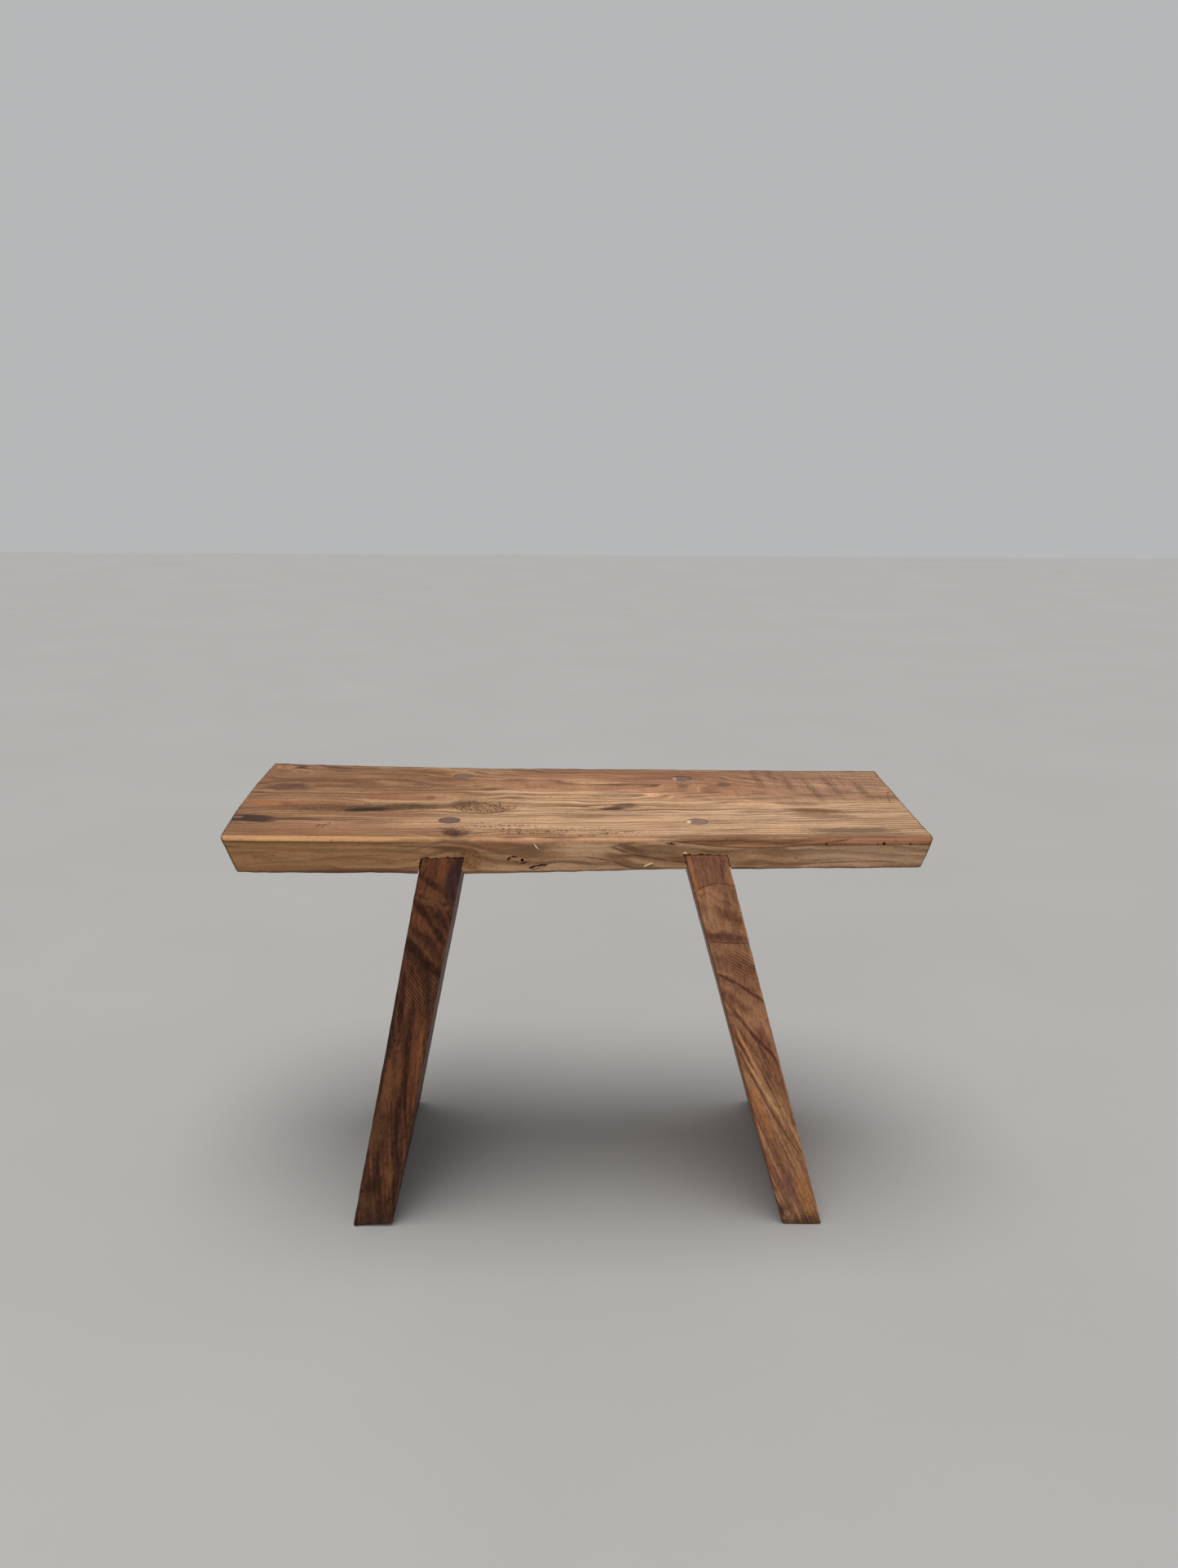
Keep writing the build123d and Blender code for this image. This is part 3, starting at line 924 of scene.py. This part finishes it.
    def front_marks(self):
        """What shows on the front, placed by x and height."""
        self.low_rows = self.noise((60, 9, 1.5), 14.2, detail=4, rough=0.65)
        front_ragged = self.low_rows * 0.6 + self.speck * 0.4
        self.spots(FRONT_MARKS, self.front_plane, self.on_front, front_ragged, FRONT_SHARE)
        self.lines(FRONT_LINES, self.front_plane, self.on_front, self.grit, FRONT_SHARE, rough=0.5)
        stain = self.spot(self.front_plane, (-106, 431), (14, 14), soft=0.5, rough=0.6, ragged=self.grit)
        stain = stain * self.on_front
        self.over(self.smooth(self.speck, 0.50, 0.62) * stain * 0.6, shaded(64, 42, 28))
        splinter = self.stroke(self.front_plane, (-41.0, 446.0), (-36.0, 440.2), 0.5, 0.3) * self.on_front
        # a painted shadow beside the pale splinter
        painted_splinter_shadow = self.stroke(self.front_plane, (-42.2, 445.6), (-37.4, 439.6), 0.6, 0.4) * self.on_front
        self.over(painted_splinter_shadow * 0.8, shaded(64, 46, 34))
        self.over(splinter, shaded(206, 184, 152))
        # painted shade inside the beetle holes and galleries
        inside_holes = self.smooth(self.y, FRONT + 0.7, FRONT + 1.3)
        inside_holes = inside_holes * self.smooth(self.y, FRONT + 14, FRONT + 10)
        painted_shade_in_borings = self.spot(self.front_plane, (-48, 425.5), (26, 10), soft=0.1) * inside_holes
        self.over(painted_shade_in_borings * 0.9, shaded(38, 24, 18))
        self.over(self.on_front * self.smooth(self.low_rows, 0.53, 0.66) * 0.4, shaded(92, 65, 44))
        rims = self.noise((30, 9, 1.1), 21.7, detail=2)
        self.over(self.on_front * self.smooth(rims, 0.62, 0.72) * 0.35, shaded(96, 68, 46))

    def lower_arris(self):
        """A dark line along the front's lower arris, which rises to the right."""
        x, z = self.x, self.z
        lower = z - LOWER_ARRIS_Z - self.math("MAXIMUM", x + LOWER_ARRIS_LEVEL, 0.0) * LOWER_ARRIS_RISE
        lower_line = self.on_front * self.smooth(lower + (self.grit - 0.5) * 3, 3.6, 1.4)
        self.over(lower_line * 0.6, shaded(66, 42, 33))

    def upper_arris(self):
        """The front's upper arris: pale at the left with a painted shadow line under it, red-brown at the
        right, dark where scooped.
        """
        x, y = self.x, self.y
        at_arris = self.smooth(y, FRONT + 8.0, FRONT + 5.5) * self.smooth(self.below, 4.4, 2.6)
        pale = at_arris * self.smooth(x, -110, -200)
        self.over(pale * (self.streaks * 0.6 + 0.45), tone(192, 145, 100))
        # a painted shadow line just below the pale arris
        painted_shadow_under_pale = self.on_front * self.smooth(self.below, 6.2, 5.0) * self.smooth(self.below, 3.6, 4.4)
        painted_shadow_under_pale = painted_shadow_under_pale * self.smooth(x, -110, -190)
        self.over(painted_shadow_under_pale * 0.6, shaded(78, 58, 34))
        pink = self.smooth(y, FRONT + 5.5, FRONT + 3.5) * self.smooth(self.below, 3.6, 2.2)
        pink = pink * self.smooth(x, -130, -60) * self.smooth(x, 95, 60)
        self.over(pink * 0.5, tone(192, 142, 108))
        red_zone = self.smooth(x, 205, 262) * self.smooth(y, FRONT + 13, FRONT + 6)
        red_zone = red_zone * self.smooth(self.below, 8.4, 6.6)
        red_share = red_zone * 0.75
        red = self.mix(self.smooth(self.low_rows, 0.4, 0.6), tone(114, 75, 52), tone(146, 98, 70))
        self.over(red_share, red)
        red_edge = red_zone * self.smooth(self.below, 5.6, 7.0)
        self.over(red_edge * 0.55, shaded(84, 56, 42))
        lens = self.math("SINE", self.smooth_line(x, *HOLLOW_ENDS) * math.pi)
        scooped = self.on_front * self.smooth(self.below - lens * HOLLOW_HEIGHT, 0.4, -0.6)
        scooped = scooped * self.smooth(lens, 0.05, 0.2) * self.smooth(self.below, 1.0, 2.2)
        inside = self.mix(self.smooth(self.low_rows, 0.4, 0.62), shaded(78, 51, 34), shaded(124, 87, 62))
        self.over(scooped * 0.9, inside)
        lip = self.on_front * self.smooth(self.math("ABSOLUTE", self.below - lens * HOLLOW_HEIGHT), 1.1, 0.4)
        self.over(lip * self.smooth(lens, 0.1, 0.3) * 0.65, shaded(60, 40, 28))

    def rims(self):
        """A dark line along the arrises of both ends and of the back."""
        x, y = self.x, self.y
        t = (y - FRONT) / SEAT_DEPTH
        from_left = x - SEAT_LOW[0] - (1 - t) * LEFT_FRONT_SETBACK + t * (1 - t) * (4 * LEFT_END_BULGE)
        from_left = from_left - self.below * LEFT_END_SLOPE
        from_right = SEAT_HIGH[0] - x - (1 - t) * RIGHT_FRONT_SETBACK - self.below * RIGHT_END_SLOPE
        from_back = back_edge_value(self, x) - y
        nearest = self.math("MINIMUM", self.math("MINIMUM", from_left, from_right), from_back * 0.55)
        facing = self.math("MAXIMUM", self.normal(2), self.normal(1) * -1)
        rimmed = self.smooth(nearest + (self.grit - 0.5) * 2, 3.4, 1.3) * self.smooth(facing, 0.3, 0.6)
        self.over(rimmed * 0.62, shaded(58, 40, 30))

    def wear(self):
        """Duller sawn ends and underside, and dirt in the pores."""
        end_grain = self.smooth(self.math("ABSOLUTE", self.normal(0)), 0.55, 0.8)
        self.over(end_grain * 0.5, shaded(104, 76, 54))
        self.under = self.smooth(self.normal(2), -0.4, -0.8)
        self.over(self.under * 0.35, shaded(140, 116, 92))
        self.cloud = self.noise((50, 30, 26), 15.8, detail=5, rough=0.6)
        self.shade(0.80 + self.cloud * 0.38)
        self.pores = self.smooth(self.noise((6, 0.5, 1.2), 16.6, self.along, detail=2), 0.60, 0.70)
        self.over(self.pores * 0.40, tone(92, 63, 44))

    def relief(self):
        """The fine relief and the gloss, which end the tree."""
        y, z = self.y, self.z
        pencil = self.noise((40, 0.9, 2.5), 17.7, self.along, detail=3, rough=0.65)
        saw_lines = self.noise((2.2, 60, 40), 18.4, self.vector(self.slant, y, z), detail=2)
        height = (self.fibres - 0.5) * 0.10 + (pencil - 0.5) * 0.22 - self.bands * 0.10 - self.pores * 0.12
        height = height - self.kerfs * 0.40 - self.ticks * 0.45 - self.pits * 0.5 + (self.grit - 0.5) * 0.2
        height = height + (saw_lines - 0.5) * 0.22 * (self.saw_zone + self.under)
        roughness = 0.62 + (self.cloud - 0.5) * 0.2 + self.pores * 0.15 - self.bands * 0.05
        return self.surface(roughness, height, 0.05)


def seat_wood():
    """The seat's material, with its layers laid in order."""
    wood = SeatWood()
    for layer in (wood.zones, wood.figure, wood.top_marks, wood.sawing, wood.front_marks,
                  wood.lower_arris, wood.upper_arris, wood.rims, wood.wear):
        layer()
    return wood.relief()


def back_edge_value(net, x):
    """back_edge() as a node formula."""
    past = net.math("MAXIMUM", (SWELL_START - x) / SWELL_REACH, 0.0)
    swell = net.math("POWER", past, SWELL_POWER)
    return SEAT_LOW[1] + RIGHT_DEPTH + (HALF_LENGTH - x) * BACK_SLOPE + swell * SWELL


def seat_top_value(net, x, y):
    """seat_top() as a node formula."""
    away = net.math("POWER", net.math("ABSOLUTE", x) / HALF_LENGTH, DISH_POWER)
    drop = net.smooth(x, 5, -5) * (LEFT_BACK_DROP - RIGHT_BACK_DROP) + RIGHT_BACK_DROP
    return SEAT_HIGH[2] - MIDDLE_DROP + away * (END_RISE - (y - FRONT) / SEAT_DEPTH * drop)


SAW_PITCH = 4.4  # between the saw's tooth marks on a leg


def leg_figure(net, leg, look):
    """The leg's own coordinates and the growth figure on it.

    u is the distance from the middle of its thickness. On the front edge the bands lie level
    at the top and turn steeper below turn_start, until they run along the leg."""
    u = net.x - leg.foot_x + net.z * (leg.side * leg.lean)
    warp = net.noise((34, 60, 70), 2.3, detail=3)
    slow = net.noise((60, 90, 160), 4.9, detail=2)
    turn = net.smooth_line(net.z, look.turn_start, look.turn_start - look.turn_length)
    slope = turn * turn * look.steepest + 0.25
    edge_figure = (net.z + u * slope + (warp - 0.5) * 42) * 0.28
    off, deep = net.y - look.pith[1] + (slow - 0.5) * 60, (u - look.pith[0]) * 1.2
    wide_figure = net.math("SQRT", off * off + deep * deep) + (warp - 0.5) * 16 + net.z * 0.03
    at_front = net.smooth(net.y, FRONT + 22, FRONT + 3)
    return u, net.blend(at_front, wide_figure, edge_figure), at_front, warp


def leg_wood(name, leg, look):
    """Dark waxed wood."""
    light, middle, dark, glow = look.shades
    net = Net(name)
    u, figure, at_front, warp = leg_figure(net, leg, look)
    z = net.z
    grit = net.noise((4, 4, 4), 8.3, detail=4, rough=0.65)
    along = net.vector(figure, net.y * 0.12, z * 0.09)
    streaks = net.noise((2.6, 9, 12), 1.3, along, detail=4, rough=0.65)
    broad = net.noise((9, 14, 16), 6.2, along, detail=2)
    length = net.vector(u, net.y * 0.5, z)
    fibres = net.noise((2.5, 4, 34), 4.4, length, detail=5, rough=0.75)
    flecks = net.noise((2.4, 4, 8), 27.3, length, detail=4, rough=0.75)
    flame = net.noise((13, 30, 46), 3.3, net.vector(u + z * 0.22, net.y, z), detail=3, rough=0.55)

    bands = net.rings(figure, 7.6)
    net.colour = net.mix(net.smooth(broad, 0.34, 0.66), middle, light)
    net.over(net.smooth(flame, 0.52, 0.70) * 0.6, glow)
    net.over(bands * net.smooth(warp, 0.3, 0.6) * 0.55, dark)
    net.over(net.smooth(streaks, 0.54, 0.74) * 0.6, dark)
    net.over(net.smooth(streaks, 0.42, 0.28) * 0.35, light)

    mottle = net.noise((5, 7, 9), 12.6, net.vector(u + z * 0.1, net.y, z), detail=5, rough=0.72)
    net.over(net.smooth(mottle, 0.51, 0.64) * look.mottled, dark)
    net.over(net.smooth(mottle, 0.44, 0.33) * look.mottled * 0.8, light)
    ragged = net.noise((2.6, 8, 12), 9.9, net.vector(u, net.y, z), detail=4, rough=0.68)
    sway = streaks - 0.5
    plane = net.vector(u + sway * 1.5, z + sway * 4, 0.0)
    net.spots(look.spots, plane, at_front, ragged, FRONT_SHARE)
    if look.cap:
        peak_u, peak_z, paint = look.cap
        above = z - peak_z + (u - peak_u) * (u - peak_u) * 0.014 + (streaks - 0.5) * 9
        capped = net.smooth(above, -0.8, 0.8) * at_front * net.smooth(net.math("ABSOLUTE", u), 18.5, 15.5)
        net.over(capped * 0.6, paint)
        net.over(net.smooth(net.math("ABSOLUTE", above), 1.3, 0.4) * at_front * 0.6, dark)
    net.lines(look.strokes, plane, at_front, ragged, FRONT_SHARE, 0.45, 0.5)

    centre, size, slant = look.saw_zone
    sawn = net.spot(plane, centre, size, soft=0.5, rough=0.6, ragged=ragged) * at_front
    across = net.math("SINE", (z + u * slant + (grit - 0.5) * 0.7) * (2 * math.pi / SAW_PITCH))
    teeth = net.smooth(across, 0.2, 0.9) * sawn
    net.over(teeth * 0.75, dark)

    cloud = net.noise((40, 60, 60), 15.8, detail=4, rough=0.6)
    net.shade(0.80 + cloud * 0.38)
    net.shade(0.64 + fibres * 0.72)
    net.over(net.smooth(flecks, 0.52, 0.60) * 0.42, dark)
    net.over(net.smooth(flecks, 0.45, 0.37) * 0.26, light)
    pores = net.smooth(net.noise((0.5, 0.7, 6), 16.6, length, detail=2), 0.60, 0.72)
    net.over(pores * 0.35, dark)
    dirt = net.smooth(z + (grit - 0.5) * 26 + (cloud - 0.5) * 30, look.foot_dirt, 2)
    net.over(dirt * 0.62, shaded(38, 26, 19))

    # a dark line runs down the left front arris, and a patchy painted highlight down the right one
    half = leg.thick / 2
    near_front = net.smooth(net.y, FRONT + 4, FRONT + 1.2)
    net.over(net.smooth(u, 2.8 - half, 1.2 - half) * near_front * 0.6, dark)
    rim = net.smooth(u, half - 3.2, half - 1.0) * near_front
    painted_arris_highlight = rim * net.smooth(net.noise((9, 9, 16), 19.3, detail=3), 0.42, 0.62)
    net.over(painted_arris_highlight * 0.6, light)
    height = (fibres - 0.5) * 0.07 - pores * 0.10 - bands * 0.06 - teeth * 0.16
    height = height + (streaks - 0.5) * 0.16 + (grit - 0.5) * 0.10
    roughness = 0.46 + (cloud - 0.5) * 0.25 + pores * 0.15 + dirt * 0.15
    return net.surface(roughness, height, 0.06)


BLACK_BROWN = (34, 18, 13)
LEFT_STROKES = (
    # path of (distance from the leg's middle, height), width, colour, strength
    (((2.5, 408), (0.5, 432)), 3.4, (112, 64, 40), 0.7),
    (((-8, 412), (-9, 432)), 2.2, (88, 48, 32), 0.7),
    (((12, 404), (11, 432)), 2.2, (86, 46, 34), 0.6),
    (((18, 430), (21, 380)), 10.0, (40, 25, 28), 0.85),
    (((13, 416), (27, 386)), 5.0, (48, 32, 38), 0.7),
    (((-20, 412), (4, 396)), 3.4, BLACK_BROWN, 0.6),
    (((-19, 384), (3, 356)), 3.4, BLACK_BROWN, 0.75),
    (((3, 356), (22, 334)), 3.4, BLACK_BROWN, 0.8),
    (((-8, 394), (14, 366)), 4.0, (98, 58, 37), 0.5),
    (((-14, 366), (2, 348)), 5.0, (98, 58, 38), 0.5),
    (((4, 378), (20, 350)), 2.4, BLACK_BROWN, 0.6),
    (((-22, 343), (-1, 320)), 4.6, BLACK_BROWN, 0.75),
    (((-1, 320), (23, 299)), 4.2, BLACK_BROWN, 0.8),
    (((-21, 324), (-12, 290)), 4.0, (96, 54, 36), 0.5),
    (((-16.5, 300), (-11, 236)), 3.0, BLACK_BROWN, 0.75),
    (((-3, 262), (8, 165)), 3.4, BLACK_BROWN, 0.65),
    (((5, 262), (13, 160)), 3.4, (102, 60, 38), 0.55),
    (((13, 250), (19, 150)), 2.0, (118, 74, 44), 0.55),
    (((2.3, 168), (9.4, 78)), 3.0, BLACK_BROWN, 0.7),
    (((12, 96), (19, 22)), 3.4, (32, 19, 15), 0.75),
    (((-10, 84), (-6, 42)), 2.6, BLACK_BROWN, 0.6),
    (((-20, 280), (-19, 150)), 2.0, (30, 19, 15), 0.7),
)
LEFT_SPOTS = (
    # centre, size, turn, colour, strength, softness, roughness of the rim
    ((-12, 172), (8, 24), 0, (98, 64, 42), 0.6, 0.6, 0.8),
    ((-5, 284), (7, 13), 0, (108, 66, 42), 0.55, 0.6, 0.8),
    ((-17, 232), (4, 26), 0, (58, 40, 29), 0.7, 0.5, 0.8),
    ((9, 204), (5, 18), 0, (104, 62, 38), 0.55, 0.6, 0.8),
    ((8, 66), (6, 15), 0, (102, 68, 42), 0.55, 0.6, 0.8),
    ((-14, 118), (7, 20), 0, (92, 62, 42), 0.55, 0.6, 0.8),
    ((-1, 132), (5, 16), 0, (52, 32, 24), 0.6, 0.6, 0.8),
    ((-8, 52), (9, 12), 0, (44, 29, 22), 0.7, 0.5, 0.8),
    ((-13, 24), (8, 9), 40, (92, 68, 48), 0.45, 0.6, 0.8),
)
RIGHT_STROKES = (
    (((-17.5, 433), (-17.5, 396)), 2.0, (146, 92, 54), 0.55),
    (((19, 432), (19.5, 398)), 2.2, (136, 84, 52), 0.45),
    (((14.5, 431), (12, 408)), 1.6, (66, 38, 30), 0.6),
    (((5, 404), (7, 432)), 1.4, (74, 44, 36), 0.3),
    (((-5, 404), (-6, 432)), 1.2, (78, 46, 38), 0.25),
    (((-19, 345), (21, 342)), 4.2, (84, 50, 42), 0.8),
    (((-19, 339), (21, 337)), 1.0, (66, 38, 32), 0.7),
    (((-20, 303), (-1, 291)), 1.8, (74, 40, 32), 0.85),
    (((-1, 291), (19, 273)), 2.2, (72, 38, 32), 0.9),
    (((-6, 302), (19, 283)), 4.6, (100, 60, 46), 0.5),
    (((-21, 276), (-2, 238)), 2.2, (84, 46, 36), 0.75),
    (((-4, 241), (18, 205)), 2.2, (68, 36, 30), 0.9),
    (((2, 244), (19, 218)), 4.0, (96, 56, 42), 0.5),
    (((-20, 238), (-9, 196)), 1.8, (76, 40, 32), 0.75),
    (((1.6, 229), (10, 177)), 1.3, (84, 48, 36), 0.6),
    (((-15, 238), (-5, 190)), 1.6, (178, 130, 88), 0.6),
    (((-12, 196), (7, 134)), 2.2, (182, 140, 96), 0.7),
    (((-19, 214), (-5, 153)), 1.3, (80, 46, 34), 0.75),
    (((-6, 156), (14, 96)), 1.3, (84, 50, 36), 0.75),
    (((-1.5, 194), (14, 132)), 1.3, (86, 52, 37), 0.8),
    (((12, 136), (23, 76)), 1.5, (86, 52, 38), 0.8),
    (((7, 166), (21, 96)), 1.8, (178, 136, 94), 0.55),
    (((-16, 176), (-8, 110)), 3.0, (158, 102, 58), 0.6),
    (((-19, 132), (-6, 62)), 1.6, (94, 58, 44), 0.6),
    (((-2, 110), (12, 44)), 1.4, (92, 58, 44), 0.6),
)
RIGHT_SPOTS = (
    ((8, 380), (3, 12), -10, (88, 54, 44), 0.6, 0.5, 0.8),
    ((13, 366), (4, 16), -6, (98, 60, 46), 0.5, 0.6, 0.8),
    ((-8, 372), (4, 16), 0, (156, 116, 86), 0.45, 0.6, 0.8),
    ((0, 324), (17, 12), 0, (124, 82, 60), 0.5, 0.7, 0.8),
    ((6, 250), (10, 12), -30, (158, 112, 82), 0.5, 0.6, 0.8),
    ((-4, 50), (8, 22), 0, (104, 72, 64), 0.75, 0.5, 0.8),
    ((12, 40), (7, 26), 0, (152, 102, 60), 0.55, 0.6, 0.8),
    ((-19, 17), (3, 7), 0, (40, 26, 20), 0.8, 0.4, 0.8),
    ((-12, 22), (7, 8), 0, (74, 46, 34), 0.5, 0.6, 0.8),
)


# What differs between the legs: shades are light, middle, dark and glowing, pith is where the
# rings' middle lies from the leg's, and the cap is an arch of paler wood at the right leg's top.
LEFT_LOOK = SimpleNamespace(
    shades=(shaded(98, 62, 42), shaded(68, 41, 28), shaded(*BLACK_BROWN), shaded(102, 58, 37)),
    pith=(-60, -30), turn_start=390, turn_length=150, steepest=5.0,
    strokes=LEFT_STROKES, spots=LEFT_SPOTS, cap=None,
    saw_zone=((4, 292), (24, 34), 1.15), foot_dirt=70, mottled=0.55,
)
RIGHT_LOOK = SimpleNamespace(
    shades=(shaded(150, 110, 80), shaded(120, 81, 58), shaded(70, 40, 30), shaded(148, 96, 58)),
    pith=(70, 10), turn_start=345, turn_length=185, steepest=5.4,
    strokes=RIGHT_STROKES, spots=RIGHT_SPOTS, cap=(5, 403, shaded(106, 69, 56)),
    saw_zone=((7, 316), (15, 15), 0.75), foot_dirt=14, mottled=0.3,
)


def plug_wood(name, x_middle, y_middle, face, tint, chip):
    """End plug: dark, close-grained, with a dirty joint round it and a pale chip at one side."""
    net = Net(name)
    x, y = net.x - x_middle, net.y - y_middle
    fine = net.noise((5, 0.8, 5), 3.2, detail=4, rough=0.6)
    grit = net.noise((2.2, 2.2, 2.2), 5.5, detail=3, rough=0.65)
    net.colour = net.mix(net.smooth(fine, 0.35, 0.65), face, tint)
    bow = net.math("SQRT", x * x + (y + 16) * (y + 16)) + (grit - 0.5) * 0.8
    lines = net.rings(bow, 2.3)
    net.shade(1.05 - lines * 0.22)
    out = net.math("SQRT", x * x + y * y)
    rim = net.smooth(out + (grit - 0.5) * 1.6, PLUG_RADIUS - 1.6, PLUG_RADIUS - 0.3)
    net.over(rim * 0.7, tone(52, 36, 30))
    at_chip = net.spot(net.vector(x, y, 0.0), (-PLUG_RADIUS + 2.6, 0), (2.4, 6.0), 0, 0.4, 0.5, grit)
    net.over(at_chip * chip, tone(206, 176, 144))
    height = (fine - 0.5) * 0.14 - lines * 0.08 + (grit - 0.5) * 0.10
    return net.surface(0.5 + (grit - 0.5) * 0.2, height)


def screw_steel():
    """Zinc-plated steel, hidden under the plugs."""
    net = Net("screw_steel")
    bloom = net.noise((3, 3, 3), 2.2, detail=3, rough=0.6)
    turned = net.noise((9, 9, 0.25), 4.1, detail=2)
    net.colour = net.mix(net.smooth(bloom, 0.35, 0.7), tone(178, 176, 168), tone(196, 188, 160))
    net.shade(0.92 + turned * 0.16)
    return net.surface(0.30 + bloom * 0.2, turned * 0.02 + bloom * 0.02, 0.5, metallic=1.0)


# ---- Stage: camera, light and floor ----

CAMERA_AT = Vector((-9.7, -1335.0, 829.2)) * MM
CAMERA_PITCH, CAMERA_YAW, CAMERA_ROLL = 15.236, 1.205, 0.439  # degrees down, to the right, tilted
CAMERA_LENS = 27.914  # on a 36 mm long side
SUN_SPREAD = 42  # degrees across, so that its shadows are soft
SUN_STRENGTH = 2.45
SUN_DIRECTION = (0.15, 0.25, -2.0)
LAMP_AT, LAMP_TARGET = (-0.9, -2.6, 1.9), (0, 0, 0.3)
LAMP_SIZE, LAMP_POWER = 1.6, 14
SKY_STRENGTH = 0.48
FLOOR_REACH = 9e3
FLOOR_TONES = (0.335, 0.33, 0.322, 1), (0.37, 0.365, 0.357, 1)


def add(made, matrix=None):
    """Puts a camera or a lamp into the scene."""
    placed = bpy.data.objects.new(made.name, made)
    placed.matrix_world = matrix or Matrix()
    bpy.context.scene.collection.objects.link(placed)
    return placed


def make_camera():
    """The camera in front of the bench, a little above its seat and looking down."""
    data = bpy.data.cameras.new("camera")
    data.lens = CAMERA_LENS
    data.sensor_width = 36
    data.clip_start = 0.01
    data.clip_end = 100
    pitch, yaw, roll = (math.radians(a) for a in (CAMERA_PITCH, CAMERA_YAW, CAMERA_ROLL))
    turn = Matrix.Rotation(-yaw, 4, "Z") @ Matrix.Rotation(math.pi / 2 - pitch, 4, "X")
    bpy.context.scene.camera = add(
        data, Matrix.Translation(CAMERA_AT) @ turn @ Matrix.Rotation(roll, 4, "Z"))


def make_lights():
    """A broad soft sun from above and a weak disk at the front."""
    sun = bpy.data.lights.new("overhead", "SUN")
    sun.angle = math.radians(SUN_SPREAD)
    sun.energy = SUN_STRENGTH
    sun.color = (1.0, 0.985, 0.96)
    add(sun).rotation_euler = Vector(SUN_DIRECTION).to_track_quat("-Z", "Y").to_euler()
    disk = bpy.data.lights.new("front", "AREA")
    disk.shape = "DISK"
    disk.size = LAMP_SIZE
    disk.energy = LAMP_POWER
    disk.color = (1.0, 0.99, 0.97)
    lamp = add(disk)
    lamp.location = LAMP_AT
    lamp.rotation_euler = (Vector(LAMP_TARGET) - Vector(LAMP_AT)).to_track_quat("-Z", "Y").to_euler()


def make_stage():
    """A plain pale floor under a pale sky."""
    corners = [(x * FLOOR_REACH, y * FLOOR_REACH, 0) for x, y in ((-1, -1), (1, -1), (1, 1), (-1, 1))]
    floor = make_object("floor", corners, [(0, 1, 2, 3)])
    net = Net("floor_plaster")
    cloud = net.noise((400, 400, 400), 1.5, detail=4)
    fine = net.noise((6, 6, 6), 2.5, detail=3)
    net.colour = net.mix(cloud, *FLOOR_TONES)
    floor.data.materials.append(net.surface(0.75 + fine * 0.1, fine * 0.05, 0.2))
    world = bpy.data.worlds.new("studio")
    world.use_nodes = True
    background = world.node_tree.nodes["Background"]
    background.inputs["Color"].default_value = (0.98, 0.99, 1.0, 1)
    background.inputs["Strength"].default_value = SKY_STRENGTH
    bpy.context.scene.world = world
    make_lights()
    bpy.context.scene.view_settings.view_transform = "Standard"


# ---- The bench ----


def install(piece, node, material):
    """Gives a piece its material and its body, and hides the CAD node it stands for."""
    piece.data.materials.clear()
    piece.data.materials.append(material)
    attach(piece, "root")
    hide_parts(node)


PLUGS = (
    # node, how far it is sunk, how much it leans, colours, strength of its pale chip
    ("left_front_plug", 0.05, 0.00, tone(82, 58, 50), tone(108, 77, 62), 0.0),
    ("left_back_plug", 0.15, 0.05, tone(94, 67, 52), tone(120, 86, 64), 0.0),
    ("right_front_plug", 0.00, 0.10, tone(110, 84, 72), tone(136, 104, 84), 0.95),
    ("right_back_plug", 0.10, -0.05, tone(90, 64, 52), tone(122, 88, 68), 0.5),
)


def build_bench():
    """All the visible pieces, and a steel look for the CAD's hidden screws."""
    seat = build_seat()
    parts = [housing_cutter(LEFT, 31), housing_cutter(RIGHT, 37)]
    parts += [surface_hole(*hole) for hole in SEAT_HOLES]
    parts += [gallery(*track) for track in SEAT_GALLERIES]
    centres = {plug[0]: plug_centre(plug[0]) for plug in PLUGS}
    parts += [recess_cutter(*centre) for centre in centres.values()]
    carve(seat, parts)
    finish_surface(seat)
    install(seat, "seat", seat_wood())

    left_leg = build_leg(LEFT, "bench_left_leg", LEFT_FOOT_LIFT, 51)
    carve(left_leg, [leg_hole(LEFT, *hole) for hole in LEFT_LEG_HOLES])
    finish_surface(left_leg)
    install(left_leg, "left_leg", leg_wood("left_leg_wood", LEFT, LEFT_LOOK))

    right_leg = build_leg(RIGHT, "bench_right_leg", 0.0, 61)
    finish_surface(right_leg)
    install(right_leg, "right_leg", leg_wood("right_leg_wood", RIGHT, RIGHT_LOOK))

    for seed, (node, sink, lean, face, tint, chip) in enumerate(PLUGS, 71):
        x, y = centres[node]
        plug = build_plug("bench_" + node, x, y, sink, lean, seed)
        finish_surface(plug)
        install(plug, node, plug_wood(node + "_wood", x, y, face, tint, chip))

    steel = screw_steel()
    for name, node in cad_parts.items():
        if name.endswith("_screw"):
            node.data.materials.clear()
            node.data.materials.append(steel)


make_camera()
make_stage()
build_bench()
